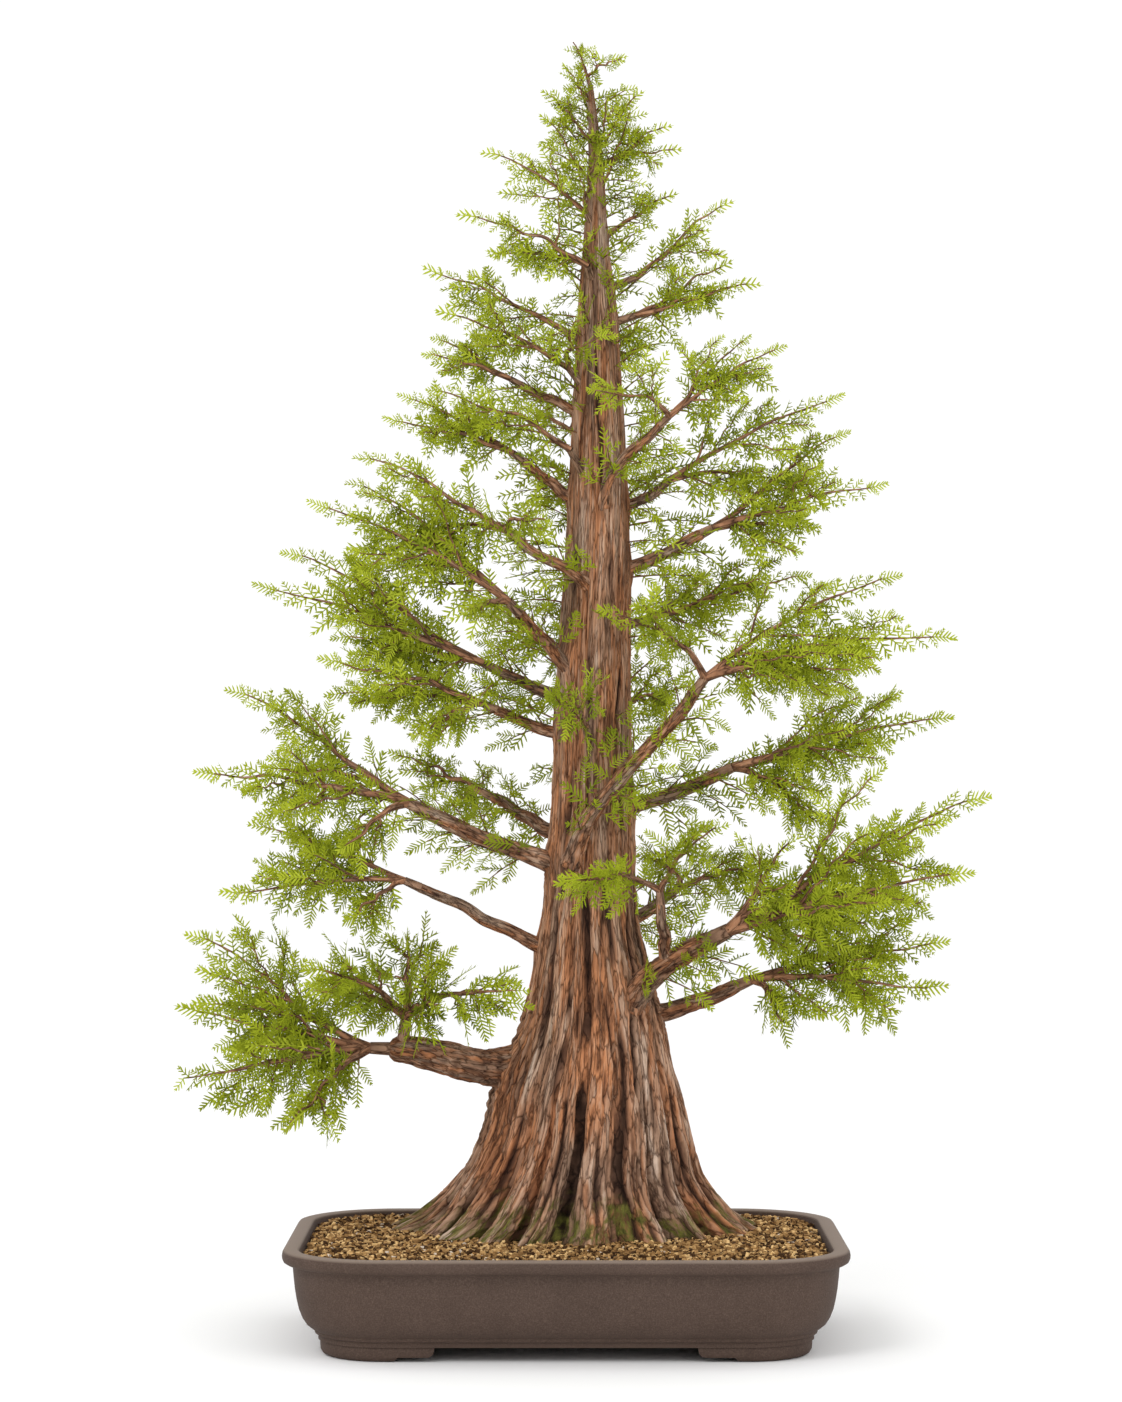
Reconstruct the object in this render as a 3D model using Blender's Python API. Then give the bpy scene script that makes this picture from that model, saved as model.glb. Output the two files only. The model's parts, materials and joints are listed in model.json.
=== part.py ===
# A dawn redwood grown as a formal upright bonsai, in an unglazed clay pot on four feet.
# Metres, +Z up. The viewer stands at -Y, so +X is the viewer's right and +Y lies behind the trunk.
# While the plant is put together, x counts from the middle of the pot and y from near the trunk.
# Heights of limbs are taken from the ground, which is the flat top of the soil under the trunk.

import math
import random

import bmesh
import bpy
from mathutils import Matrix, Vector
from mathutils.bvhtree import BVHTree
from mathutils.geometry import interpolate_bezier

MM = 0.001
GAP = 0.3 * MM  # the clear space kept between two pieces that meet

# Pot: a rectangle with round corners, given by the outside of its rim.
pot_half_x = 218.5 * MM
pot_half_y = 167 * MM
pot_y = -24 * MM  # the trunk stands behind the middle of the pot
pot_corner = 80 * MM
pot_height = 80 * MM
pot_floor = 23 * MM
corner_points = 5
underside = 11.5 * MM  # the height of the pot's flat underside between the feet

# The pot's outside from the underside to the top of the rim: (inset from the rim's outside, height).
pot_outside = (
    (28.0, 11.5), (28.0, 16.5), (24.5, 18.5), (18.5, 23.5), (13.0, 33.0), (10.0, 50.0),
    (8.2, 68.0), (1.0, 71.0), (0.0, 75.5), (2.5, 80.0),
)
pot_inside = ((12.5, 80.0), (14.5, 76.0), (20.0, 40.0), (30.0, 23.0))
foot_section = ((30.0, 13.5), (30.0, 4.0), (33.0, 0.0), (48.0, 0.0), (48.0, 13.5))
foot_gap_x = 100 * MM  # half of the gap between the two front feet, above their low toes
foot_gap_y = 44 * MM
foot_toe = 31 * MM  # how much wider the gap is at the ground
foot_toe_height = 3.6 * MM

# Soil: it fills the pot and rises a little to a flat top under the trunk.
ground = pot_height - 2.8 * MM
soil_edge = 74.5 * MM
soil_flat_inset = 44 * MM  # from the rim's outside to the flat top

# Trunk: its height above the ground, the radius over its root lobes or flutes, and how far its
# middle lies to the right of the pot's middle, all in millimetres.
trunk_y = 16 * MM
trunk_stations = (
    (0, 147, 5), (14, 126, 8), (42, 101, 11), (74, 86, 15), (106, 76, 17), (154, 61, 21), (200, 49.5, 21),
    (250, 40, 20), (320, 34, 21), (440, 30, 22.5), (555, 25.5, 26), (660, 20.5, 26), (745, 15.5, 25),
    (794, 10.5, 24), (858, 6.2, 24), (922, 2.4, 19.5),
)
trunk_height = 922 * MM
root_count = 18
cut_height = 0.3  # millimetres; the trunk's flat cut stands this far clear of the soil

# Foliage rule
twig_spacing = 56 * MM
twig_spread = math.radians(50)  # between a twig and its leader
tip_spray = 52 * MM
spray_width = 0.34  # half of a spray's width, as a share of its length
spray_thickness = 0.032  # of the spray's length
leader_bows = (0, 14, -14, 28, -28, 42, -42)  # millimetres; the first that leaves room is used


def point(x, y, h):
    # A place given in millimetres: to the right, to the back, and above the ground.
    return Vector((x * MM, y * MM, ground + h * MM))


# Boughs: where each leaves the trunk (height on its skin, heading and rise in degrees; heading 0 is
# +X and 90 is +Y, and way is given where it sets off in another heading), its tip, the rise of its
# tip, and its radius at both ends in millimetres. A bough with a parent leaves that bough's route.
boughs = {
    "left_1": dict(leaves=131, heading=186, rise=2, tip=(-131, -5, 147), tip_rise=8, thick=(15.6, 11.2)),
    "left_2": dict(leaves=230, heading=186, rise=24, tip=(-116, -10, 276), tip_rise=22, thick=(5.6, 4.0)),
    "left_3": dict(leaves=296, heading=188, rise=18, tip=(-110, -12, 336), tip_rise=26, thick=(8.0, 5.8)),
    "left_4": dict(leaves=400, heading=182, rise=14, tip=(-56, 0, 418), tip_rise=24, thick=(5.2, 4.0)),
    "left_5": dict(leaves=430, heading=183, rise=18, tip=(-56, -5, 450), tip_rise=24, thick=(5.4, 4.2)),
    "left_6": dict(leaves=454, heading=215, rise=44, tip=(-37, -30, 494), tip_rise=40, thick=(5.8, 4.4)),
    "left_7": dict(leaves=519, heading=245, rise=30, tip=(-38, -36, 552), tip_rise=42, thick=(5.4, 3.8)),
    "left_8": dict(leaves=590, heading=186, rise=32, tip=(-34, -5, 616), tip_rise=36, thick=(4.8, 3.8)),
    "left_9": dict(leaves=660, heading=190, rise=20, tip=(-36, 0, 678), tip_rise=30, thick=(4.2, 3.2)),
    "right_1": dict(leaves=175, heading=352, rise=14, tip=(134, -12, 197), tip_rise=24, thick=(7.4, 5.8)),
    "right_2": dict(leaves=196, heading=318, rise=44, tip=(110, -42, 234), tip_rise=26, thick=(11.5, 7.6)),
    "right_2_shoot": dict(parent="right_2", share=0.5, heading=256, rise=76, tip=(74, -60, 264),
                          tip_rise=88, thick=(5.4, 4.0)),
    "right_3": dict(leaves=341, heading=0, rise=16, tip=(121, 0, 366), tip_rise=26, thick=(6.2, 5.2)),
    "right_4": dict(leaves=306, heading=248, way=300, rise=62, tip=(100, -52, 430), tip_rise=58,
                    thick=(6.6, 5.0)),
    "right_5": dict(leaves=532, heading=0, rise=20, tip=(107, 4, 558), tip_rise=26, thick=(5.4, 4.4)),
    "right_6": dict(leaves=583, heading=5, rise=20, tip=(76, 0, 596), tip_rise=38, thick=(4.6, 3.8)),
    "right_7": dict(leaves=588, heading=280, rise=58, tip=(74, -40, 642), tip_rise=42, thick=(4.8, 3.6)),
    "back_1": dict(leaves=236, heading=58, rise=20, tip=(84, 88, 266), tip_rise=22, thick=(6.4, 4.6)),
    "back_2": dict(leaves=318, heading=146, rise=18, tip=(-58, 76, 346), tip_rise=18, thick=(6.2, 4.4)),
    "back_3": dict(leaves=384, heading=82, rise=20, tip=(36, 96, 412), tip_rise=20, thick=(5.6, 4.2)),
}

# Masses of needles. Each grows from a bough's tip, or from the trunk at a height and heading, as
# one stem that forks into leaders. A leader is given by its far tip and its fullness.
masses = {
    "left_1_outer": dict(bough="left_1", turn=(-1.0, -0.1, 0.05), stem=14, thick=5.0,
                         leaders=((-316, -40, 126, 1.1), (-310, 12, 178, 1.1), (-306, 44, 238, 1.1),
                                  (-222, -78, 92, 1.0))),
    "left_1_inner": dict(bough="left_1", turn=(0.15, -0.35, 1.0), stem=16, thick=4.6,
                         leaders=((-30, -100, 200, 0.95), (-130, 84, 236, 1.1), (-206, -90, 218, 1.0))),
    "left_2": dict(bough="left_2", stem=10, thick=3.4,
                   leaders=((-272, -34, 272, 1.0), (-254, 24, 326, 1.0), (-176, -50, 250, 0.9))),
    "left_3": dict(bough="left_3", stem=12, thick=4.8,
                   leaders=((-272, 18, 436, 1.0), (-293, -36, 368, 1.1), (-180, -56, 308, 0.9))),
    "left_4": dict(bough="left_4", stem=8, thick=3.4,
                   leaders=((-196, -28, 458, 1.0), (-194, 38, 432, 1.1), (-122, -58, 396, 0.9))),
    "left_5": dict(bough="left_5", stem=8, thick=3.6,
                   leaders=((-228, 16, 546, 0.9), (-248, -26, 516, 0.8), (-189, 34, 478, 1.0))),
    "left_6": dict(bough="left_6", stem=10, thick=3.8,
                   leaders=((-205, -22, 582, 0.9), (-176, 34, 604, 0.8), (-82, -76, 494, 1.0))),
    "left_7": dict(bough="left_7", stem=8, thick=3.2,
                   leaders=((-167, -30, 620, 0.9), (-136, 24, 560, 1.0), (-12, -132, 562, 0.9))),
    "left_8": dict(bough="left_8", stem=8, thick=3.0,
                   leaders=((-145, -22, 648, 1.0), (-134, 20, 671, 0.9))),
    "left_9": dict(bough="left_9", stem=7, thick=2.6,
                   leaders=((-114, -16, 702, 1.0), (-108, 26, 718, 0.95))),
    "left_10": dict(leaves=610, heading=232, rise=46, stem=26, thick=3.2,
                    leaders=((-110, -42, 671, 0.9),)),
    "left_11": dict(leaves=682, heading=216, rise=44, stem=18, thick=3.0,
                    leaders=((-102, -28, 734, 1.0), (12, -98, 722, 0.9))),
    "left_12": dict(leaves=717, heading=186, rise=32, stem=22, thick=3.0,
                    leaders=((-113, 0, 770, 1.0),)),
    "left_13": dict(leaves=766, heading=250, rise=40, stem=16, thick=2.8,
                    leaders=((-85, -18, 812, 1.0), (-62, 26, 787, 0.95))),
    "left_14": dict(leaves=812, heading=236, rise=46, stem=12, thick=2.4,
                    leaders=((-65, -6, 865, 1.1), (26, -56, 856, 0.9))),
    "right_1": dict(bough="right_1", stem=10, thick=4.4,
                    leaders=((298, -50, 198, 1.0), (306, 6, 232, 1.0), (172, -70, 172, 0.9))),
    "right_2": dict(bough="right_2", stem=14, thick=6.2,
                    leaders=((318, -64, 290, 1.1), (338, -22, 350, 1.0), (178, -96, 318, 1.0),
                             (262, 26, 262, 1.1))),
    "right_2_shoot": dict(bough="right_2_shoot", stem=8, thick=3.2,
                          leaders=((-8, -124, 286, 0.9), (120, -122, 328, 0.9))),
    "right_3": dict(bough="right_3", stem=9, thick=4.2,
                    leaders=((308, -10, 412, 1.0), (266, 40, 392, 1.1), (222, 34, 326, 0.9))),
    "right_4": dict(bough="right_4", stem=10, thick=4.0,
                    leaders=((265, -32, 526, 1.0), (306, -52, 476, 1.0), (22, -124, 494, 0.9),
                             (232, -84, 448, 1.0))),
    "right_5": dict(bough="right_5", stem=8, thick=3.6,
                    leaders=((229, 20, 642, 0.9), (255, -20, 596, 1.0), (206, 36, 566, 0.9))),
    "right_6": dict(bough="right_6", stem=7, thick=3.2,
                    leaders=((222, -10, 668, 0.9), (184, 34, 606, 1.0))),
    "right_7": dict(bough="right_7", stem=7, thick=2.9,
                    leaders=((174, -36, 705, 0.9), (149, 2, 716, 0.8), (16, -108, 664, 0.9))),
    "right_8": dict(leaves=731, heading=356, rise=16, stem=20, thick=3.2,
                    leaders=((153, -8, 759, 0.95), (133, 26, 778, 0.8))),
    "right_9": dict(leaves=759, heading=0, rise=24, stem=24, thick=2.9,
                    leaders=((131, -6, 824, 0.9),)),
    "right_10": dict(leaves=801, heading=8, rise=36, stem=14, thick=2.5,
                     leaders=((87, 10, 833, 1.0),)),
    "right_11": dict(leaves=858, heading=352, rise=28, stem=9, thick=2.2,
                     leaders=((82, -6, 885, 1.0), (91, 16, 870, 0.8))),
    "back_1": dict(bough="back_1", stem=9, thick=3.4,
                   leaders=((176, 152, 292, 1.0), (64, 186, 300, 1.0))),
    "back_2": dict(bough="back_2", stem=9, thick=3.4,
                   leaders=((-146, 120, 384, 1.0), (-88, 184, 342, 1.0))),
    "back_3": dict(bough="back_3", stem=9, thick=3.2,
                   leaders=((112, 190, 440, 1.0), (10, 205, 436, 1.0))),
    "back_4": dict(leaves=458, heading=112, rise=20, stem=26, thick=4.0,
                   leaders=((-70, 176, 500, 1.0), (16, 188, 512, 1.0))),
    "back_5": dict(leaves=486, heading=36, rise=14, stem=30, thick=4.0,
                   leaders=((202, 88, 530, 1.0), (122, 146, 528, 1.0))),
    "back_6": dict(leaves=566, heading=86, rise=24, stem=24, thick=3.6,
                   leaders=((58, 166, 604, 1.0), (-26, 160, 598, 1.0))),
    "back_7": dict(leaves=636, heading=118, rise=26, stem=20, thick=3.2,
                   leaders=((-44, 128, 672, 1.1),)),
    "back_8": dict(leaves=698, heading=66, rise=28, stem=16, thick=2.9,
                   leaders=((62, 108, 738, 1.1),)),
    "front_1": dict(leaves=398, heading=262, rise=24, stem=20, thick=3.4,
                    leaders=((4, -128, 428, 0.9),)),
    "apex": dict(bough="trunk", stem=7, thick=1.7,
                 leaders=((4, 6, 957, 1.0), (47, 0, 940, 0.8), (-18, 2, 914, 0.9), (60, 14, 916, 0.8))),
}


def new_object(name, bm):
    bmesh.ops.recalc_face_normals(bm, faces=bm.faces)
    mesh = bpy.data.meshes.new(name)
    bm.to_mesh(mesh)
    bm.free()
    made = bpy.data.objects.new(name, mesh)
    bpy.context.scene.collection.objects.link(made)
    return made


def skin(bm, rings):
    # Joins each ring of vertices to the next one with triangles.
    for below, above in zip(rings, rings[1:]):
        for i in range(len(below)):
            j = (i + 1) % len(below)
            bm.faces.new((below[i], below[j], above[j]))
            bm.faces.new((below[i], above[j], above[i]))


def loft(loops, capped=True):
    # Skins closed loops of equal length, one after the other, and caps the two ends.
    bm = bmesh.new()
    rings = [[bm.verts.new(place) for place in loop] for loop in loops]
    skin(bm, rings if capped else rings + rings[:1])
    if capped:
        bm.faces.new(rings[0])
        bm.faces.new(rings[-1])
    return bm


def evaluated_copy(made):
    # The object's mesh with its modifiers applied, as a new mesh.
    graph = bpy.context.evaluated_depsgraph_get()
    return bpy.data.meshes.new_from_object(made.evaluated_get(graph))


def apply_modifiers(made):
    bpy.context.view_layer.update()
    old, made.data = made.data, evaluated_copy(made)
    made.modifiers.clear()
    bpy.data.meshes.remove(old)


def swollen_copy(made):
    # A cutter that is larger than the piece by the gap on all sides.
    bm = bmesh.new()
    bm.from_mesh(made.data)
    bm.normal_update()
    for vertex in bm.verts:
        vertex.co += vertex.normal * GAP * 1.15
    return new_object(made.name + "_cutter", bm)


def remove(made):
    mesh = made.data
    bpy.data.objects.remove(made)
    bpy.data.meshes.remove(mesh)


def boolean(made, operation, other, solver="EXACT"):
    modifier = made.modifiers.new(operation.title(), "BOOLEAN")
    modifier.operation = operation
    modifier.solver = solver
    modifier.object = other
    apply_modifiers(made)


def keep_largest_body(made):
    # Drops loose scraps and the walls of sealed hollows, so that one closed body is left.
    bm = bmesh.new()
    bm.from_mesh(made.data)
    left, bodies = set(bm.verts), []
    while left:
        body, edge = set(), [left.pop()]
        while edge:
            vertex = edge.pop()
            body.add(vertex)
            linked = {e.other_vert(vertex) for e in vertex.link_edges} & left
            left -= linked
            edge += linked
        bodies.append(body)
    largest = max(bodies, key=len)
    bmesh.ops.delete(bm, geom=[v for v in bm.verts if v not in largest], context="VERTS")
    bm.to_mesh(made.data)
    bm.free()


def smooth(made, angle=40):
    made.data.shade_smooth()
    made.data.set_sharp_from_angle(angle=math.radians(angle))


def material(name, colour, roughness):
    made = bpy.data.materials.new(name)
    made.use_nodes = True
    shader = made.node_tree.nodes["Principled BSDF"]
    shader.inputs["Base Color"].default_value = (*colour, 1)
    shader.inputs["Roughness"].default_value = roughness
    shader.inputs["Metallic"].default_value = 0
    made.diffuse_color = (*colour, 1)
    return made


# Pot


def rounded_rectangle(inset, z):
    radius = pot_corner - inset
    reach_x, reach_y = pot_half_x - pot_corner, pot_half_y - pot_corner
    outline = []
    for corner, (side_x, side_y) in enumerate(((1, 1), (-1, 1), (-1, -1), (1, -1))):
        for step in range(corner_points):
            angle = math.pi / 2 * (corner + step / (corner_points - 1))
            x = side_x * reach_x + radius * math.cos(angle)
            y = side_y * reach_y + radius * math.sin(angle)
            outline.append(Vector((x, y, z)))
    return outline


def foot_gap_cutter(half_gap, half_length, turned):
    # A prism with the outline of the gap between two feet: wide at the ground, with a soft step.
    low, step = -2 * MM, 4 * MM
    half = (
        (half_gap + foot_toe, low), (half_gap + foot_toe, 0.4 * MM),
        (half_gap + foot_toe - step, foot_toe_height), (half_gap + step, foot_toe_height),
        (half_gap, foot_toe_height + step), (half_gap, underside),
    )
    outline = list(half) + [(-x, z) for x, z in reversed(half)]
    ends = []
    for y in (-half_length, half_length):
        ends.append([Vector((y, x, z)) if turned else Vector((x, y, z)) for x, z in outline])
    return new_object("foot_gap_cutter", loft(ends))


def make_pot():
    loops = [rounded_rectangle(inset * MM, z * MM) for inset, z in pot_outside + pot_inside]
    pot = new_object("pot", loft(loops))
    ring = [rounded_rectangle(inset * MM, z * MM) for inset, z in foot_section]
    feet = new_object("feet", loft(ring, capped=False))
    for cutter in (foot_gap_cutter(foot_gap_x, 2 * pot_half_y, False),
                   foot_gap_cutter(foot_gap_y, 2 * pot_half_x, True)):
        boolean(feet, "DIFFERENCE", cutter)
        remove(cutter)
    boolean(pot, "UNION", feet)
    remove(feet)
    pot.data.transform(Matrix.Translation((0, pot_y, 0)))
    return pot


# Soil


def make_soil():
    # It follows the pot's inside, a gap clear of it, from the floor to the soil's edge.
    floor_inset, wall_inset, edge_inset = 31 * MM, 20.5 * MM, 15.6 * MM
    sections = (
        (floor_inset, pot_floor + GAP), (wall_inset, 40 * MM), (edge_inset, soil_edge),
        ((edge_inset + soil_flat_inset) / 2, (soil_edge + ground) / 2 + 0.8 * MM),
        (soil_flat_inset, ground),
    )
    soil = new_object("soil", loft([rounded_rectangle(inset, z) for inset, z in sections]))
    soil.data.transform(Matrix.Translation((0, pot_y, 0)))
    return soil


# Trunk


def between_stations(h, column):
    # A smooth value between the trunk's stations, by the slopes of the chords round it.
    heights = [station[0] * MM for station in trunk_stations]
    values = [station[column] * MM for station in trunk_stations]
    last = len(heights) - 1
    i = max(k for k in range(last) if heights[k] <= h or k == 0)

    def slope(k):
        low, high = max(k - 1, 0), min(k + 1, last)
        return (values[high] - values[low]) / (heights[high] - heights[low])

    span = heights[i + 1] - heights[i]
    t = (h - heights[i]) / span
    rise = values[i + 1] - values[i]
    a, b = slope(i) * span - rise, rise - slope(i + 1) * span
    return values[i] + rise * t + t * (1 - t) * (a * (1 - t) + b * t)


def trunk_radius(h):
    return between_stations(h, 1)


def trunk_axis(h):
    return Vector((between_stations(h, 2), trunk_y, ground + h))


def trunk_point(phase, h):
    # The root lobes round the foot run up the trunk as flutes that fade. Phase goes once round.
    lobe = abs(math.cos(root_count / 2 * phase)) ** 0.7
    depth = 0.27 * math.exp(-h / (75 * MM)) + 0.035
    uneven = 1 + 0.07 * math.exp(-h / (60 * MM)) * math.sin(3 * phase + 0.6)
    angle = phase + 0.055 * math.sin(2 * phase + 1.0) + 0.04 * math.sin(5 * phase)
    radius = trunk_radius(h) * uneven * (1 - depth * (1 - lobe))
    flatness = 0.96 - 0.30 * math.exp(-h / (90 * MM))
    offset = Vector((radius * math.cos(angle), radius * math.sin(angle) * flatness, 0))
    return trunk_axis(h) + offset


def trunk_ring(h, count):
    half_step = math.pi / root_count  # a valley lies half a lobe from phase 0
    return [trunk_point(2 * math.pi * i / count + half_step, h * MM) for i in range(count)]


def make_trunk():
    # Three points to each root lobe up to the top of the flare, then one, up to the tip.
    low = (cut_height, 12, 34, 74, 124, 185)
    high = (235, 300, 380, 470, 560, 650, 730, 795, 858, 922)
    bm = loft([trunk_ring(h, 3 * root_count) for h in low])
    bm.faces.ensure_lookup_table()
    bm.faces.remove(bm.faces[-1])
    fine = list(bm.verts)[-3 * root_count:]
    coarse = [[bm.verts.new(place) for place in trunk_ring(h, root_count)] for h in high]
    for i in range(root_count):
        j = (i + 1) % root_count
        a, b, c, d = (fine[(3 * i + k) % len(fine)] for k in range(4))
        here, onward = coarse[0][i], coarse[0][j]
        for corners in ((a, b, here), (b, onward, here), (b, c, onward), (c, d, onward)):
            bm.faces.new(corners)
    skin(bm, coarse)
    bm.faces.new(coarse[-1])
    return new_object("trunk", bm)


# Limbs


def frames_along(points):
    # A tangent and two crossing directions at each point, carried along without twist.
    tangents = [
        (points[min(i + 1, len(points) - 1)] - points[max(i - 1, 0)]).normalized()
        for i in range(len(points))
    ]
    across = tangents[0].orthogonal().normalized()
    found = []
    for tangent in tangents:
        across = (across - tangent * across.dot(tangent)).normalized()
        found.append((tangent, across, tangent.cross(across)))
    return found


def tube(name, points, radii, sides, tip):
    # A tapering limb that closes in a point or a small dome at the tip.
    bm = bmesh.new()
    rings = []
    for place, radius, (_, across, up) in zip(points, radii, frames_along(points)):
        turns = [2 * math.pi * k / sides for k in range(sides)]
        rings.append([bm.verts.new(place + radius * (across * math.cos(t) + up * math.sin(t)))
                      for t in turns])
    skin(bm, rings)
    bm.faces.new(rings[0])
    end = bm.verts.new(tip)
    for i in range(sides):
        bm.faces.new((rings[-1][i], rings[-1][(i + 1) % sides], end))
    return new_object(name, bm)


def heading_vector(heading, rise):
    flat, steep = math.radians(heading), math.radians(rise)
    return Vector((math.cos(flat) * math.cos(steep), math.sin(flat) * math.cos(steep), math.sin(steep)))


def curve_between(start, start_direction, end, end_direction, count):
    reach = (end - start).length
    handle_a = start + start_direction * reach * 0.38
    handle_b = end - end_direction * reach * 0.34
    return interpolate_bezier(start, handle_a, handle_b, end, count)


def trunk_side(h, heading):
    # The place on the trunk's skin at a height and heading, both as the tables give them.
    centre = trunk_axis(h * MM)
    return centre + heading_vector(heading, 0) * trunk_radius(h * MM)


def bough_route(name, count=5):
    # From inside the trunk, or on the parent's route, to the centre of the dome at the tip.
    bough = boughs[name]
    tip = point(*bough["tip"])
    if "parent" in bough:
        route = bough_route(bough["parent"], 25)
        start = route[round(bough["share"] * (len(route) - 1))]
    else:
        start = trunk_side(bough["leaves"], bough["heading"])
    away = tip - start
    end_heading = math.degrees(math.atan2(away.y, away.x))
    onward = heading_vector(bough.get("way", bough["heading"]), bough["rise"])
    route = curve_between(start, onward, tip, heading_vector(end_heading, bough["tip_rise"]), count)
    if "parent" in bough:
        return route
    return [start - onward * 14 * MM] + route


def bough_radius(name, share):
    # It swells into a collar where it leaves the trunk.
    root, tip = boughs[name]["thick"]
    collar = 0.45 * root * math.exp(-share * 9)
    return (root + (tip - root) * share + collar) * MM


def make_bough(name):
    route = bough_route(name)
    last = len(route) - 1
    radii = [bough_radius(name, i / last) for i in range(last + 1)]
    end = (route[-1] - route[-2]).normalized()
    shoulder = route[-1] + end * radii[-1] * 0.62
    top = route[-1] + end * radii[-1]
    return tube("bough_" + name, route + [shoulder], radii + [radii[-1] * 0.74], 5, top)


def tree_of(made):
    bm = bmesh.new()
    bm.from_mesh(made.data)
    tree = BVHTree.FromBMesh(bm)
    bm.free()
    return tree


def make_boughs(cutters):
    # Each is cut where it meets the trunk, and where it meets a bough that was made before it.
    made = []
    for name in boughs:
        bough = make_bough(name)
        for cutter in cutters.values():
            if tree_of(bough).overlap(tree_of(cutter)):
                boolean(bough, "DIFFERENCE", cutter)
        keep_largest_body(bough)
        cutters[name] = swollen_copy(bough)
        made.append(bough)
    return made


# Foliage


def stem_start(mass):
    # A place just inside the bough's tip or the trunk, and the way the stem sets off from there.
    if "leaves" in mass:
        direction = heading_vector(mass["heading"], mass["rise"])
        return trunk_side(mass["leaves"], mass["heading"]) - direction * 5 * MM, direction
    if mass["bough"] == "trunk":
        return trunk_axis(trunk_height) - Vector((0, 0, MM)), Vector((-0.3, 0, 1)).normalized()
    route = bough_route(mass["bough"])
    onward = (route[-1] - route[-2]).normalized()
    direction = Vector(mass.get("turn", onward)).normalized()
    return route[-1], direction


def leader_route(fork, direction, tip, bow, count=4):
    # It leaves the fork between the stem's way and its own, and levels out towards its tip. The
    # bow, in millimetres, pushes its middle back or forward.
    away = (tip - fork).normalized()
    start = (direction + away * 1.6).normalized()
    level = Vector((away.x, away.y, away.z * 0.45)).normalized()
    reach = (tip - fork).length
    aside = Vector((0, bow * MM, 0))
    handle_a = fork + start * reach * 0.38 + aside
    handle_b = tip - level * reach * 0.34 + aside
    return interpolate_bezier(fork, handle_a, handle_b, tip, count)


def at_share(route, share):
    place = share * (len(route) - 1)
    i = min(int(place), len(route) - 2)
    return route[i].lerp(route[i + 1], place - i)


def spread_at(length, share, fullness):
    # Half of the mass's breadth and depth, which swell behind the middle and close to the tip.
    lens = math.sin(math.pi * (0.12 + 0.83 * share) ** 0.85) ** 0.6
    broad = min(max(0.36 * length, 20 * MM), 68 * MM) * fullness * lens
    deep = min(max(0.22 * length, 13 * MM), 40 * MM) * fullness * lens
    return broad, deep


def spray_blade(root, direction, flat_normal, length):
    # A flat spray of needles: a toothed blade with a low ridge along the middle of both faces.
    outline = ((0, 0), (0.26, 0.62), (0.44, 0.38), (0.64, 1.0))
    side = flat_normal.cross(direction).normalized()
    normal = direction.cross(side).normalized()
    half_width = length * spray_width
    bm = bmesh.new()
    right = [bm.verts.new(root + direction * u * length + side * v * half_width) for u, v in outline]
    tip = bm.verts.new(root + direction * length)
    left = [bm.verts.new(root + direction * u * length - side * v * half_width)
            for u, v in reversed(outline[1:])]
    rim = right + [tip] + left
    middle = root + direction * length * 0.46
    for face in (1, -1):
        centre = bm.verts.new(middle + normal * face * length * spray_thickness / 2)
        for i in range(len(rim)):
            bm.faces.new((rim[i], rim[(i + 1) % len(rim)], centre))
    return new_object("spray", bm)


def grow_leader(rng, fork, leader, direction, thick, try_add):
    x, y, h, fullness = leader
    tip = point(x, y, h)
    up = Vector((0, 0, 1))
    length = (tip - fork).length
    tip_blade = min(tip_spray, 0.6 * length)
    blade_root = tip + (fork - tip).normalized() * tip_blade * 0.92
    for bow in leader_bows:
        route = leader_route(fork, direction, blade_root, bow)
        last = len(route) - 1
        radii = [thick * (1 - 0.7 * i / last) * MM for i in range(last + 1)]
        if try_add(tube("leader", route, radii, 3, route[-1] + (tip - route[-1]) * 0.25)):
            break
    else:
        print("no room for a leader to", leader)
        return
    onward = (tip - route[-2]).normalized()
    lean = Vector((rng.uniform(-0.6, 0.6), rng.uniform(-0.9, 0.9), 1))
    try_add(spray_blade(blade_root, onward, lean, (tip - blade_root).length))
    count = max(1, round(length / twig_spacing))
    for i in range(count):
        share = 0.10 + 0.80 * (i + rng.uniform(0.3, 0.7)) / count
        place = at_share(route, share)
        tangent = (at_share(route, min(1, share + 0.05)) - at_share(route, share - 0.05)).normalized()
        side = 1 if i % 2 else -1
        across = tangent.cross(up).normalized() * side
        upward = across.cross(tangent) * side
        roll = math.radians(rng.uniform(-66, 66))
        offset = across * math.cos(roll) + upward * math.sin(roll)
        broad, deep = spread_at(length, share, fullness)
        reach = 1 / math.hypot(math.cos(roll) / broad, math.sin(roll) / deep)
        way = (tangent * math.cos(twig_spread) + offset * math.sin(twig_spread)).normalized()
        way = (way + up * rng.uniform(-0.25, 0.05)).normalized()
        tilt = Vector((rng.uniform(-0.8, 0.8), rng.choice((-1, 1)) * rng.uniform(0.5, 1.5), 1))
        blade = max(reach / math.sin(twig_spread), 32 * MM)
        try_add(spray_blade(place, way, tilt, blade))


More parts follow.
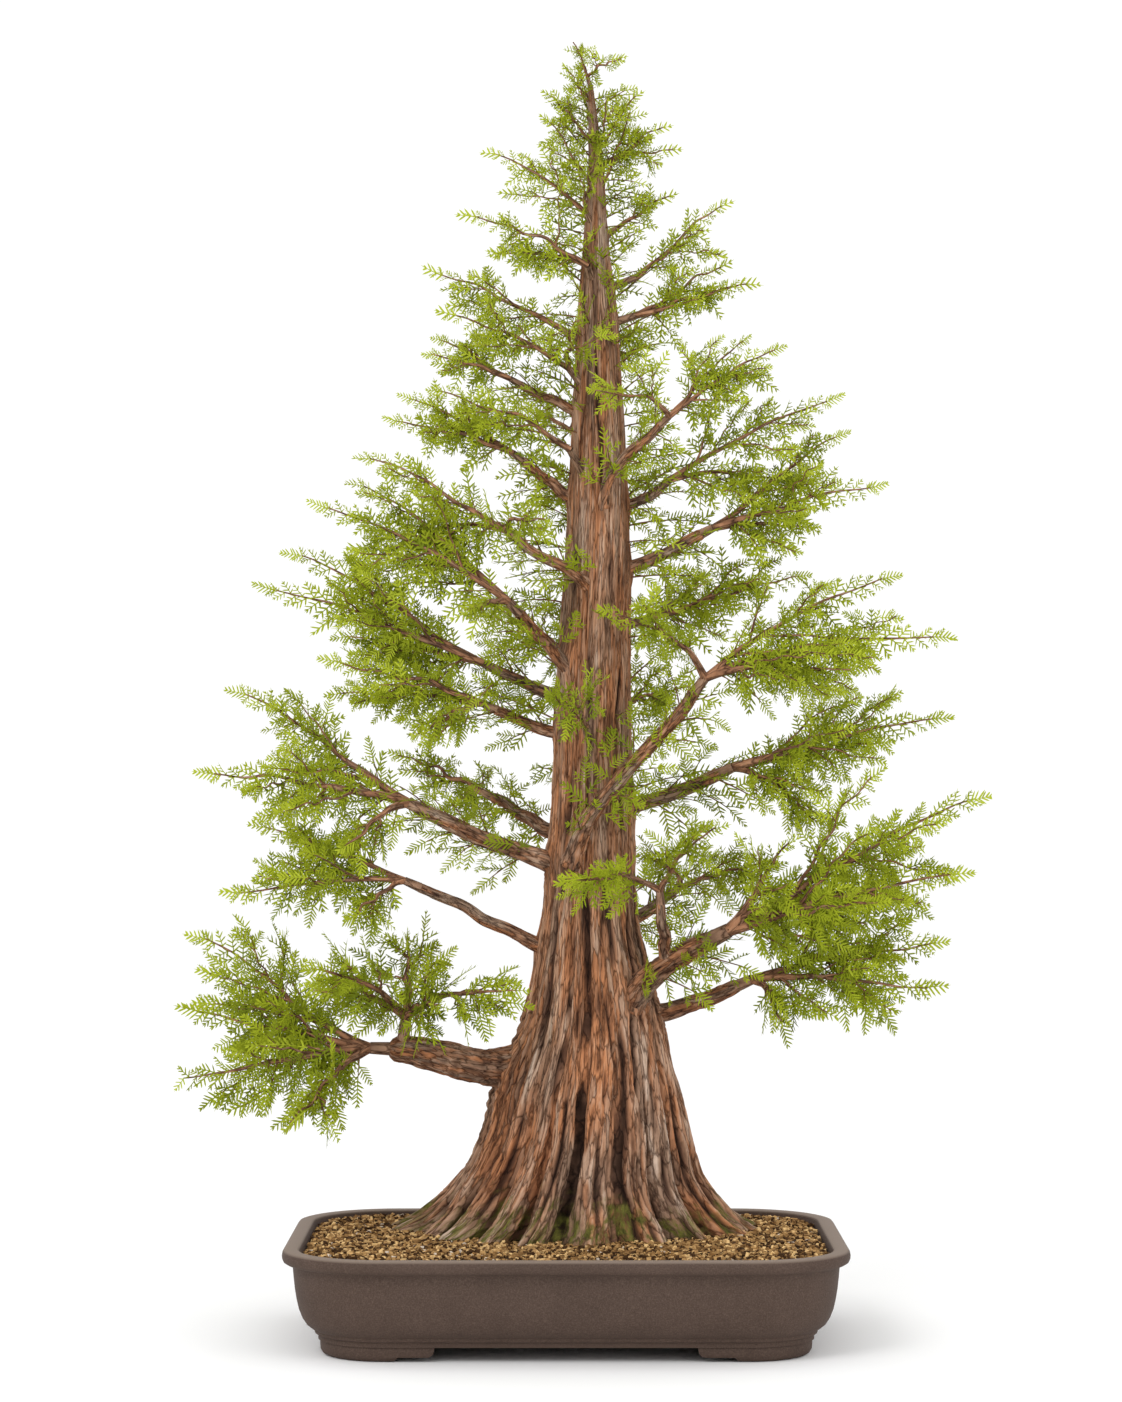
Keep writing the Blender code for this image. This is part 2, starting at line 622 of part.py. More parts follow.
def make_mass(name, mass, obstacles, cutters):
    rng = random.Random("needles " + name)
    start, direction = stem_start(mass)
    thick = mass["thick"]
    inside = bough_radius(mass["bough"], 1) if mass.get("bough") in boughs else 0
    fork = start + direction * (mass["stem"] * MM + inside)
    stem = tube("needles_" + name, [start, fork], [thick * 1.1 * MM, thick * MM], 5,
                fork + direction * thick * 0.7 * MM)
    twigs = bpy.data.collections.new("twigs")

    def try_add(made):
        # A spray or leader that would touch a limb or a finished mass is left out.
        tree = tree_of(made)
        if any(tree.overlap(other) for other in obstacles):
            remove(made)
            return False
        bpy.context.scene.collection.objects.unlink(made)
        twigs.objects.link(made)
        return True

    for tip_place in mass["leaders"]:
        grow_leader(rng, fork, tip_place, direction, thick * 0.8, try_add)
    fuse = stem.modifiers.new("Fuse", "BOOLEAN")
    fuse.operation = "UNION"
    fuse.operand_type = "COLLECTION"
    fuse.collection = twigs
    fuse.solver = "MANIFOLD"
    apply_modifiers(stem)
    for made in list(twigs.objects):
        remove(made)
    bpy.data.collections.remove(twigs)
    seat = mass.get("bough", "trunk")
    for cutter in {cutters["trunk"], cutters[seat]}:
        boolean(stem, "DIFFERENCE", cutter)
    keep_largest_body(stem)
    return stem


def stand_over_origin(pieces):
    # The origin is on the surface that the pot stands on, under the middle of the whole plant.
    places = [vertex.co for made in pieces for vertex in made.data.vertices]
    middle_x = (min(p.x for p in places) + max(p.x for p in places)) / 2
    middle_y = (min(p.y for p in places) + max(p.y for p in places)) / 2
    for made in pieces:
        made.data.transform(Matrix.Translation((-middle_x, -middle_y, 0)))


def main():
    for old in list(bpy.data.objects):
        bpy.data.objects.remove(old)
    clay = material("clay", (0.095, 0.072, 0.064), 0.78)
    mulch = material("mulch", (0.30, 0.18, 0.075), 0.95)
    bark = material("bark", (0.23, 0.105, 0.062), 0.9)
    needles = material("needles", (0.19, 0.33, 0.035), 0.6)

    pot = make_pot()
    soil = make_soil()
    trunk = make_trunk()
    cutters = {"trunk": swollen_copy(trunk)}
    limbs = make_boughs(cutters)
    obstacles = [tree_of(made) for made in (trunk, soil, *limbs)]
    crown = []
    for name, mass in masses.items():
        made = make_mass(name, mass, obstacles, cutters)
        obstacles.append(tree_of(made))
        crown.append(made)
    for cutter in cutters.values():
        remove(cutter)

    finishes = [(pot, clay), (soil, mulch), (trunk, bark)]
    finishes += [(limb, bark) for limb in limbs] + [(made, needles) for made in crown]
    for made, finish in finishes:
        made.data.materials.clear()
        made.data.materials.append(finish)
    hard_pieces = [pot, soil, trunk, *limbs]
    for made in hard_pieces:
        smooth(made)
    stand_over_origin(hard_pieces + crown)


main()
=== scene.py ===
# Looks of the dawn redwood bonsai: bark, needles, soil granules, clay pot, light and camera.
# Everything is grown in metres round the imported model, which stays where it is.

import json
import math
import random

import bmesh
import bpy
import numpy as np
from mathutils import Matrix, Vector
from mathutils.geometry import interpolate_bezier

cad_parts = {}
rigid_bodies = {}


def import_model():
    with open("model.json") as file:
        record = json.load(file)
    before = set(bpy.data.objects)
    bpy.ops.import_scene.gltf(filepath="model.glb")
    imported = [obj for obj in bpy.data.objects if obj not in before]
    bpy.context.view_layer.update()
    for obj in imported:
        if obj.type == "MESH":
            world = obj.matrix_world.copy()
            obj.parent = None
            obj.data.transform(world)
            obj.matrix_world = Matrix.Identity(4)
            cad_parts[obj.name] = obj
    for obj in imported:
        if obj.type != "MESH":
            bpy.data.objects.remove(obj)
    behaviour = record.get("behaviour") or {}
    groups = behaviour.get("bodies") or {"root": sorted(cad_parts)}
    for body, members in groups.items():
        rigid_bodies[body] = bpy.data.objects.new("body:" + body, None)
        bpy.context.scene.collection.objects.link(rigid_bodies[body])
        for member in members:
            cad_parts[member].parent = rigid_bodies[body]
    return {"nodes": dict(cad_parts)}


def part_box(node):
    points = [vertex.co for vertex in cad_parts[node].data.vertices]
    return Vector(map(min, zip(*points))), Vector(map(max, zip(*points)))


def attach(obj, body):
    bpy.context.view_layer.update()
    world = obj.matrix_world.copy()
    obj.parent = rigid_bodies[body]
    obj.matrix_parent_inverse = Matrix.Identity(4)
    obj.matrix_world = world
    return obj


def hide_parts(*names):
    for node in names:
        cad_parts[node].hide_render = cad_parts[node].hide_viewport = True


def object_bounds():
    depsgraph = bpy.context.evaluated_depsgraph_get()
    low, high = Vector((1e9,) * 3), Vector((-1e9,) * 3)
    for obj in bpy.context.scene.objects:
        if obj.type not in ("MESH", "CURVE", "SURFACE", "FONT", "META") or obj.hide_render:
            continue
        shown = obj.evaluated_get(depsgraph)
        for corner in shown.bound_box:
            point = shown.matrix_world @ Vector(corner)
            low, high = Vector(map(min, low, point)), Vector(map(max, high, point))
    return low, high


mm = 0.001

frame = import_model()
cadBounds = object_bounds()
potLow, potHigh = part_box("pot")
potMiddle = (potLow + potHigh) / 2
treeShift = Vector((potMiddle.x, potMiddle.y + 24 * mm, 0))  # from the tree's own places to the model's
groundLevel = potHigh.z - 2.8 * mm
print("frame loaded,", len(frame["nodes"]), "solids")


def treePoint(x, y, h):
    # millimetres to the right, to the back and above the ground
    return treeShift + Vector((x * mm, y * mm, groundLevel + h * mm))


# Mesh and noise helpers

noiseRows = 89  # after this many cells along a limb the soft noise repeats
cellRows = 83  # the same for bark plates


def buildMesh(name, points, faceSets, finishes, slots=None, smooth=True):
    # faceSets holds arrays of faces, each array with one number of corners
    mesh = bpy.data.meshes.new(name)
    faceSets = [np.asarray(faces, int) for faces in faceSets if len(faces)]
    corners = np.concatenate([faces.ravel() for faces in faceSets])
    totals = np.concatenate([np.full(len(faces), faces.shape[1]) for faces in faceSets])
    starts = np.concatenate(([0], np.cumsum(totals)[:-1]))
    mesh.vertices.add(len(points))
    mesh.vertices.foreach_set("co", np.asarray(points, np.float32).ravel())
    mesh.loops.add(len(corners))
    mesh.loops.foreach_set("vertex_index", corners.astype(np.int32))
    mesh.polygons.add(len(totals))
    mesh.polygons.foreach_set("loop_start", starts.astype(np.int32))
    for finish in finishes:
        mesh.materials.append(finish)
    if slots is not None:
        mesh.polygons.foreach_set("material_index", np.asarray(slots, np.int32))
    mesh.polygons.foreach_set("use_smooth", np.full(len(totals), smooth))
    mesh.update(calc_edges=True)
    mesh.validate()
    made = bpy.data.objects.new(name, mesh)
    bpy.context.scene.collection.objects.link(made)
    return made


def addPointData(made, name, values):
    kind = "FLOAT_VECTOR" if values.ndim == 2 else "FLOAT"
    field = "vector" if values.ndim == 2 else "value"
    data = made.data.attributes.new(name, kind, "POINT")
    data.data.foreach_set(field, np.asarray(values, np.float32).ravel())


def ringFaces(rows, columns, first=0):
    # quads between rows of a tube whose columns close on themselves
    row, column = np.meshgrid(np.arange(rows - 1), np.arange(columns), indexing="ij")
    onward = (column + 1) % columns
    a = first + row * columns + column
    b = first + row * columns + onward
    return np.stack((a, b, b + columns, a + columns), axis=-1).reshape(-1, 4)


def tubeFaces(rows, columns):
    # the quads of a tube and a flat face at both its ends
    root = np.arange(columns)
    return [ringFaces(rows, columns), [root[::-1]], [root + (rows - 1) * columns]]


def lengthsAlong(places):
    # how far along the line each of its points lies
    return np.concatenate(([0], np.cumsum(np.linalg.norm(np.diff(places, axis=0), axis=1))))


def easeStep(low, high, value):
    t = np.clip((value - low) / (high - low), 0, 1)
    return t * t * (3 - 2 * t)


def smoothNoise(u, v, columns, seed):
    # soft random values from 0 to 1; u runs once round from 0 to 1, v in cells along
    table = np.random.default_rng([seed, columns]).random((noiseRows, columns))
    x = u * columns
    column, row = np.floor(x).astype(int), np.floor(v).astype(int)
    fx, fy = easeStep(0, 1, x - column), easeStep(0, 1, v - row)
    left, right = column % columns, (column + 1) % columns
    below, above = row % noiseRows, (row + 1) % noiseRows
    low = table[below, left] * (1 - fx) + table[below, right] * fx
    high = table[above, left] * (1 - fx) + table[above, right] * fx
    return low * (1 - fy) + high * fy


def plateCells(u, v, columns, seed):
    # long cells for bark plates: distance from a cell's edge, and two random values for each cell
    table = np.random.default_rng([seed, columns, 7]).random((cellRows, columns, 4))
    margin, play = 0.12, 0.76  # where in its cell a plate's middle may lie
    stretch = 0.8  # a little longer than wide
    x = u * columns
    column, row = np.floor(x).astype(int), np.floor(v).astype(int)
    nearest = np.full(u.shape, 9.0)
    second = nearest.copy()
    height, tint = np.zeros(u.shape), np.zeros(u.shape)
    for stepX in (-1, 0, 1):
        for stepY in (-1, 0, 1):
            pick = table[(row + stepY) % cellRows, (column + stepX) % columns]
            gapX = column + stepX + margin + play * pick[..., 0] - x
            gapY = row + stepY + pick[..., 1] - v
            reach = np.hypot(gapX, gapY * stretch)
            closer = reach < nearest
            second = np.where(closer, nearest, np.minimum(second, reach))
            height = np.where(closer, pick[..., 2], height)
            tint = np.where(closer, pick[..., 3], tint)
            nearest = np.where(closer, reach, nearest)
    return second - nearest, height, tint


def doublings(level, softness):
    # yields column counts that double as the limb widens, with the share of each where it counts
    low = np.floor(level)
    blend = easeStep(0.5 - softness, 0.5 + softness, level - low)
    for power in range(int(low.min()), int(low.max()) + 2):
        share = np.where(low == power, 1 - blend, 0) + np.where(low == power - 1, blend, 0)
        near = share > 0
        if near.any():
            yield 2 ** power, near, share[near]


def barkPlates(u, s, girth, flakes, seed):
    # flakes keep about one width however wide the limb is, so they split and join along it
    width, length = flakes["width"], flakes["length"]
    wander = smoothNoise(u, s / (2.5 * length), 24, seed) - 0.5
    level = np.log2(np.maximum(girth / width, 4)) + 0.8 * wander
    edge, height, tint = (np.zeros(u.shape) for _ in range(3))
    for columns, near, share in doublings(level, 0.2):
        bend = smoothNoise(u[near], s[near] / (0.35 * length), columns, seed + 3) - 0.5
        bend += 0.5 * (smoothNoise(u[near], s[near] / (0.1 * length), 2 * columns, seed + 4) - 0.5)
        found = plateCells(u[near] + 0.55 * bend / columns, s[near] / length, columns, seed + 5)
        for total, value in zip((edge, height, tint), found):
            total[near] += share * value
    return edge, height, tint


def alongNoise(index, v, columns, seed):
    # for each strip of bark, a value from 0 to 1 that varies softly along it
    table = np.random.default_rng([seed, columns, 3]).random((noiseRows, columns))
    row = np.floor(v).astype(int)
    share = easeStep(0, 1, v - row)
    below, above = table[row % noiseRows, index % columns], table[(row + 1) % noiseRows, index % columns]
    return below * (1 - share) + above * share


def barkStrips(u, s, girth, strips, grooveWidth, seed):
    # long strips with grooves between them that open and close along their length; where the limb
    # is wider a new groove opens in the middle of each strip
    width, length = strips["width"], strips["length"]
    sway = (smoothNoise(u, s / (70 * mm), 20, seed) - 0.5) * 9 * mm
    sway += (smoothNoise(u, s / (18 * mm), 60, seed + 1) - 0.5) * 2.6 * mm
    around = u + sway / girth
    wander = smoothNoise(u, s / length, 16, seed + 2) - 0.5
    level = np.log2(np.maximum(girth / width, 4)) + 0.7 * wander
    groove, height, tint = (np.zeros(u.shape) for _ in range(3))
    for columns, near, share in doublings(level, 0.3):
        x = around[near] * columns
        border = np.floor(x + 0.5).astype(int)
        strip = np.floor(x).astype(int)
        v = s[near] / length
        opening = easeStep(0.34, 0.78, alongNoise(border, v * 1.7, columns, seed + 4))
        gap = np.abs(x - border) * girth[near] / columns
        wide = grooveWidth[near] * (0.35 + opening)
        groove[near] += share * opening * (1 - easeStep(0, 1, gap / wide))
        height[near] += share * alongNoise(strip, v, columns, seed + 5)
        tint[near] += share * alongNoise(strip, v * 0.6, columns, seed + 6)
    return groove, height, tint


# Materials

def newFinish(name, roughness, specular=0.3):
    finish = bpy.data.materials.new(name)
    finish.use_nodes = True
    shader = finish.node_tree.nodes["Principled BSDF"]
    shader.inputs["Roughness"].default_value = roughness
    shader.inputs["Specular IOR Level"].default_value = specular
    return finish, finish.node_tree, shader


def addNode(tree, kind, vector=None, **values):
    # a new node with its vector linked and its plain inputs set by name
    node = tree.nodes.new("ShaderNode" + kind)
    if vector is not None:
        tree.links.new(vector, node.inputs["Vector"])
    for name, value in values.items():
        node.inputs[name].default_value = value
    return node


def addNoise(tree, vector, scale, detail, roughness):
    noise = addNode(tree, "TexNoise", vector, Scale=scale, Detail=detail, Roughness=roughness)
    return noise.outputs["Fac"]


def addRamp(tree, source, stops):
    ramp = addNode(tree, "ValToRGB")
    elements = ramp.color_ramp.elements
    for place, colour in stops[2:]:
        elements.new(place)
    for element, (place, colour) in zip(elements, sorted(stops)):
        element.position = place
        element.color = (*colour, 1)
    tree.links.new(source, ramp.inputs["Fac"])
    return ramp.outputs["Color"]


def addMix(tree, share, first, second, way="MIX"):
    mix = addNode(tree, "Mix")
    mix.data_type = "RGBA"
    mix.blend_type = way
    sockets = [s for s in mix.inputs if s.enabled]
    for socket, value in zip(sockets, (share, first, second)):
        if isinstance(value, (float, int)):
            socket.default_value = value
        elif isinstance(value, tuple):
            socket.default_value = (*value, 1)
        else:
            tree.links.new(value, socket)
    return [s for s in mix.outputs if s.enabled][0]


def addBump(tree, source, shader, strength, distance):
    bump = addNode(tree, "Bump", Strength=strength, Distance=distance)
    tree.links.new(source, bump.inputs["Height"])
    tree.links.new(bump.outputs["Normal"], shader.inputs["Normal"])


barkLook = {  # colours with their places on ramps of the bark's shade value; crevice (reached by the painted shade in clefts and grooves), crest, groove and plate
    "red": ((0.0, (0.026, 0.012, 0.007)), (1.0, (0.71, 0.44, 0.29)),
            (0.24, (0.15, 0.066, 0.036)), (0.60, (0.56, 0.240, 0.108))),
    "grey": ((0.0, (0.026, 0.012, 0.007)), (1.0, (0.80, 0.65, 0.53)),
             (0.26, (0.17, 0.100, 0.068)), (0.62, (0.45, 0.315, 0.225))),
    "moss": ((0.35, (0.050, 0.048, 0.010)), (0.70, (0.19, 0.185, 0.035))),
    "mossClumps": 700,
    "mossSpeckle": 420,
    "mossTufts": ((0.44, (0.05, 0.05, 0.05)), (0.58, (1.0, 1.0, 1.0))),
    "flakeScale": 330,  # flakes to a metre, round the limb
    "greyFlakes": ((0.45, (0, 0, 0)), (0.95, (0.55, 0.55, 0.55))),
    "flakeShades": ((0.0, (0.70, 0.67, 0.65)), (1.0, (1.0, 1.0, 1.0))),
    # crack: painted shade in the cracks between the flakes
    "crack": ((0.0, (0.16, 0.12, 0.10)), (0.12, (1.0, 1.0, 1.0))),
    "frayScale": 420,
    "fray": 4.2 * mm,
    "fibreScale": 900,
    "fibreShades": ((0.32, (0.58, 0.54, 0.52)), (0.60, (1.0, 1.0, 1.0))),
    "strength": dict(flakes=0.9, cracks=0.85, fibres=0.8, bump=0.8),
    "bumpHeight": 1.2 * mm,
}


def barkFinish():
    # "bark" holds the shade (plate height with painted shade in hollows), greyness and moss; "grain" runs
    # round and along the limb
    look, strength = barkLook, barkLook["strength"]
    finish, tree, shader = newFinish("stringy_bark", 0.88, 0.18)
    data = addNode(tree, "Attribute")
    data.attribute_name = "bark"
    split = addNode(tree, "SeparateXYZ", data.outputs["Vector"])
    grainNode = addNode(tree, "Attribute")
    grainNode.attribute_name = "grain"
    grain = grainNode.outputs["Vector"]
    fibres = addNoise(tree, grain, look["fibreScale"], 5, 0.68)
    ragged = addNode(tree, "TexNoise", grain, Scale=look["frayScale"], Detail=4)  # frays the flakes' edges
    frayed = addNode(tree, "VectorMath")
    frayed.operation = "MULTIPLY_ADD"
    tree.links.new(ragged.outputs["Color"], frayed.inputs[0])
    frayed.inputs[1].default_value = (look["fray"],) * 3
    tree.links.new(grain, frayed.inputs[2])
    flakes = addNode(tree, "TexVoronoi", frayed.outputs["Vector"], Scale=look["flakeScale"])
    edges = addNode(tree, "TexVoronoi", frayed.outputs["Vector"], Scale=look["flakeScale"])
    edges.feature = "DISTANCE_TO_EDGE"
    flakeValue = addNode(tree, "SeparateXYZ", flakes.outputs["Color"])
    red = addRamp(tree, split.outputs["X"], look["red"])
    grey = addRamp(tree, split.outputs["X"], look["grey"])
    patches = addRamp(tree, flakeValue.outputs["X"], look["greyFlakes"])
    greyness = addMix(tree, split.outputs["Y"], patches, (1.0, 1.0, 1.0))
    plain = addMix(tree, greyness, red, grey)
    shade = addRamp(tree, flakeValue.outputs["Y"], look["flakeShades"])
    flaked = addMix(tree, strength["flakes"], plain, shade, "MULTIPLY")
    # painted shade in the cracks between the flakes
    crack = addRamp(tree, edges.outputs["Distance"], look["crack"])
    cracked = addMix(tree, strength["cracks"], flaked, crack, "MULTIPLY")
    threads = addRamp(tree, fibres, look["fibreShades"])
    fibrous = addMix(tree, strength["fibres"], cracked, threads, "MULTIPLY")
    green = addRamp(tree, addNoise(tree, grain, look["mossClumps"], 3, 0.7), look["moss"])
    tufts = addRamp(tree, addNoise(tree, grain, look["mossSpeckle"], 4, 0.75), look["mossTufts"])
    mossy = addMix(tree, 1.0, split.outputs["Z"], tufts, "MULTIPLY")
    tree.links.new(addMix(tree, mossy, fibrous, green), shader.inputs["Base Color"])
    addBump(tree, addMix(tree, 0.5, crack, fibres), shader, strength["bump"], look["bumpHeight"])
    return finish


def plainFinish(name, colour, roughness, specular=0.3):
    finish, _, shader = newFinish(name, roughness, specular)
    shader.inputs["Base Color"].default_value = (*colour, 1)
    return finish


clayLook = {
    "speckle": ((0.30, (0.060, 0.038, 0.029)), (0.74, (0.135, 0.092, 0.072)), (0.50, (0.086, 0.056, 0.043))),
    "cloud": ((0.30, (0.80, 0.79, 0.78)), (0.70, (1.0, 1.0, 1.0))),
    # paler colour of the rim's top: a painted highlight where it catches the light
    "rim": (0.235, 0.180, 0.145),
    "rimHighlightHeight": (78.0 * mm, 79.8 * mm),  # the rim's top turns paler between these heights, a painted highlight
    "grainScale": 900,
    "cloudScale": 28,
    "bumpHeight": 0.35 * mm,
}


def clayFinish():
    look = clayLook
    finish, tree, shader = newFinish("unglazed_clay", 0.70, 0.16)
    places = addNode(tree, "TexCoord").outputs["Object"]
    height = addNode(tree, "SeparateXYZ", places)
    speckle = addNoise(tree, places, look["grainScale"], 3, 0.75)
    cloud = addNoise(tree, places, look["cloudScale"], 4, 0.6)
    base = addRamp(tree, speckle, look["speckle"])
    body = addMix(tree, 0.8, base, addRamp(tree, cloud, look["cloud"]), "MULTIPLY")
    # painted highlight: the rim's top takes the paler rim colour
    onRimHighlight = addNode(tree, "MapRange")
    onRimHighlight.inputs["From Min"].default_value, onRimHighlight.inputs["From Max"].default_value = look["rimHighlightHeight"]
    tree.links.new(height.outputs["Z"], onRimHighlight.inputs["Value"])
    tree.links.new(addMix(tree, onRimHighlight.outputs["Result"], body, look["rim"]), shader.inputs["Base Color"])
    addBump(tree, speckle, shader, 0.30, look["bumpHeight"])
    return finish


# Pot

potShape = {  # sections as pairs of inset from the widest outline and height, in millimetres
    "halfX": 218.5 * mm,
    "halfY": 167 * mm,
    "corner": 80 * mm,
    "cornerPoints": 20,
    "outside": (
        (28.0, 11.5), (28.0, 15.2), (25.6, 16.1), (25.2, 17.3), (25.0, 18.6), (22.6, 20.0), (18.9, 23.0),
        (15.6, 28.0), (13.0, 34.5), (11.3, 42.0), (10.0, 50.0), (9.0, 59.0), (8.3, 67.0), (7.3, 68.6),
        (3.2, 69.4), (1.2, 70.6), (0.2, 72.8), (0.0, 75.4), (0.5, 78.0), (1.7, 79.5), (3.6, 80.0)),
    "inside": ((7.5, 80.0), (11.0, 79.9), (12.8, 79.2), (13.8, 77.4), (14.8, 73.0), (17.0, 60.0)),
    "footSection": (
        (30.0, 13.0), (29.4, 11.5), (29.5, 8.0), (29.8, 4.2), (31.2, 1.6), (33.6, 0.3), (36.5, 0.0),
        (46.0, 0.0), (48.0, 1.2), (48.0, 13.0)),
    "footGapX": 100 * mm,
    "footGapY": 44 * mm,
    "footToe": 31 * mm,
    "toeHeight": 3.6 * mm,
    "underside": 11.5 * mm,
}


def roundedLoop(shape, inset, z):
    radius = shape["corner"] - inset
    reachX, reachY = shape["halfX"] - shape["corner"], shape["halfY"] - shape["corner"]
    count = shape["cornerPoints"]
    outline = []
    for corner, (sideX, sideY) in enumerate(((1, 1), (-1, 1), (-1, -1), (1, -1))):
        for step in range(count):
            angle = math.pi / 2 * (corner + step / (count - 1))
            outline.append(potMiddle.xy.to_3d() + Vector((
                sideX * reachX + radius * math.cos(angle),
                sideY * reachY + radius * math.sin(angle), z)))
    return outline


def applyModifiers(made):
    bpy.context.view_layer.update()
    graph = bpy.context.evaluated_depsgraph_get()
    old, made.data = made.data, bpy.data.meshes.new_from_object(made.evaluated_get(graph))
    made.modifiers.clear()
    bpy.data.meshes.remove(old)


def gapCutter(shape, halfGap, halfLength, turned):
    # the outline of the gap between two feet: a wide low toe with a round end under a round arch
    low, toe = -2 * mm, shape["toeHeight"]
    wide = halfGap + shape["footToe"]
    half = [(wide, low), (wide, 0.3 * mm), (wide - 1.2 * mm, 1.2 * mm), (wide - 3.4 * mm, toe)]
    for step in range(7):
        turn = math.pi / 2 * step / 6
        half.append((halfGap + 6 * mm * (1 - math.sin(turn)), toe + 5 * mm * (1 - math.cos(turn))))
    half.append((halfGap - 0.4 * mm, shape["underside"] + 0.2 * mm))
    outline = half + [(-x, z) for x, z in reversed(half)]
    points = []
    for y in (-halfLength, halfLength):
        for x, z in outline:
            place = Vector((y, x, z)) if turned else Vector((x, y, z))
            points.append(potMiddle.xy.to_3d() + place)
    count = len(outline)
    ends = [list(range(count)), list(range(2 * count - 1, count - 1, -1))]
    return buildMesh("cutter", points, [ringFaces(2, count), np.array(ends)], [])


def fixNormals(made):
    bm = bmesh.new()
    bm.from_mesh(made.data)
    bmesh.ops.recalc_face_normals(bm, faces=bm.faces)
    bm.to_mesh(made.data)
    bm.free()


def makeLoft(name, rows, finish, ring=False):
    # a body through loops of points, closed on itself as a ring or else with flat ends
    points = [place for row in rows for place in row]
    count = len(rows[0])
    faces = [ringFaces(len(rows) + 1, count) % len(points)] if ring else tubeFaces(len(rows), count)
    made = buildMesh(name, points, faces, [finish])
    fixNormals(made)
    return made


def makePot(finish):
    shape = potShape
    walls = [roundedLoop(shape, inset * mm, z * mm) for inset, z in shape["outside"] + shape["inside"]]
    pot = makeLoft("clay_pot", walls, finish)
    section = [roundedLoop(shape, inset * mm, z * mm) for inset, z in shape["footSection"]]
    feet = makeLoft("clay_feet", section, finish, ring=True)
    beyond = 400 * mm
    lengthwise = gapCutter(shape, shape["footGapX"], beyond, False)
    crosswise = gapCutter(shape, shape["footGapY"], beyond, True)
    for cutter in (lengthwise, crosswise):
        fixNormals(cutter)
        cut = feet.modifiers.new("gap", "BOOLEAN")
        cut.operation = "DIFFERENCE"
        cut.solver = "EXACT"
        cut.object = cutter
        applyModifiers(feet)
        bpy.data.objects.remove(cutter)
    soften = feet.modifiers.new("soften", "BEVEL")
    soften.width = 0.8 * mm
    soften.segments = 2
    soften.angle_limit = math.radians(50)
    applyModifiers(feet)
    for made in (pot, feet):
        fixNormals(made)
        made.data.shade_smooth()
        made.data.set_sharp_from_angle(angle=math.radians(38))
        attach(made, "root")
    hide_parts("pot")
    print("pot made,", len(pot.data.polygons) + len(feet.data.polygons), "faces")


# Trunk

trunk = {
    "y": 16 * mm,
    "height": 922 * mm,
    "rootCount": 18,
    "clefts": dict(foot=0.16, footPlay=0.22, above=0.025, abovePlay=0.05),  # depth as a share of the radius
    "stations": (  # height, radius and shift to the right in millimetres
        (0, 147, 5), (14, 126, 8), (42, 101, 11), (74, 86, 15), (106, 76, 17), (154, 61, 21), (200, 49.5, 21),
        (250, 40, 20), (320, 34, 21), (440, 30, 22.5), (555, 25.5, 26), (660, 20.5, 26), (745, 15.5, 25),
        (794, 10.5, 24), (858, 6.2, 24), (922, 2.4, 19.5)),
    "columns": 440,
    "lowTop": 190 * mm,  # up to here the mesh is finer
    "lowRows": 112,
    "highRows": 222,
    "strips": dict(width=16 * mm, length=85 * mm, groove=2.6 * mm),  # of bark, between deep grooves
    "splits": dict(width=6.5 * mm, length=38 * mm, groove=1.3 * mm),  # narrower strips on them
    "flakes": dict(width=3.6 * mm, length=27 * mm),
    "relief": dict(strip=1.6, groove=3.4, splitStrip=0.8, split=1.5, flake=0.9, chip=0.5),  # millimetres
    # the bark's shade follows the strips' and flakes' heights, with painted shade in the root clefts,
    # grooves, splits, flakes' edges and collar wrinkles
    "shade": dict(middle=0.66, foot=0.08, strip=0.22, splitStrip=0.28, flake=0.34, chip=0.10,
                  cleft=0.96, groove=0.90, split=0.55, tip=0.24),
    "youngFrom": (0.84, 0.96),  # shares of the height between which the bark turns smooth
    "collar": dict(reach=1.75, swell=0.42, wrinkle=0.10, wrinkleStep=0.42),  # of the bough's radius
    "grainRadius": (62 * mm, 37 * mm),  # of the round on which the fibres lie, at the foot and at the top
    "grainStretch": 8.5,  # how much longer than wide the grain is
    "mossTop": 62 * mm,
}


def betweenStations(h, column):
    # the same smooth value between stations as in the solid, for one height or many
    table = np.array(trunk["stations"]) * mm
    heights, values = table[:, 0], table[:, column]
    last = len(heights) - 1
    low, high = np.maximum(np.arange(last + 1) - 1, 0), np.minimum(np.arange(last + 1) + 1, last)
    slopes = (values[high] - values[low]) / (heights[high] - heights[low])
    i = np.clip(np.searchsorted(heights, h, side="right") - 1, 0, last - 1)
    span = heights[i + 1] - heights[i]
    t = (h - heights[i]) / span
    rise = values[i + 1] - values[i]
    a, b = slopes[i] * span - rise, rise - slopes[i + 1] * span
    return values[i] + rise * t + t * (1 - t) * (a * (1 - t) + b * t)


def trunkAxis(h):
    return treeShift + Vector((betweenStations(h, 2), trunk["y"], groundLevel + h))


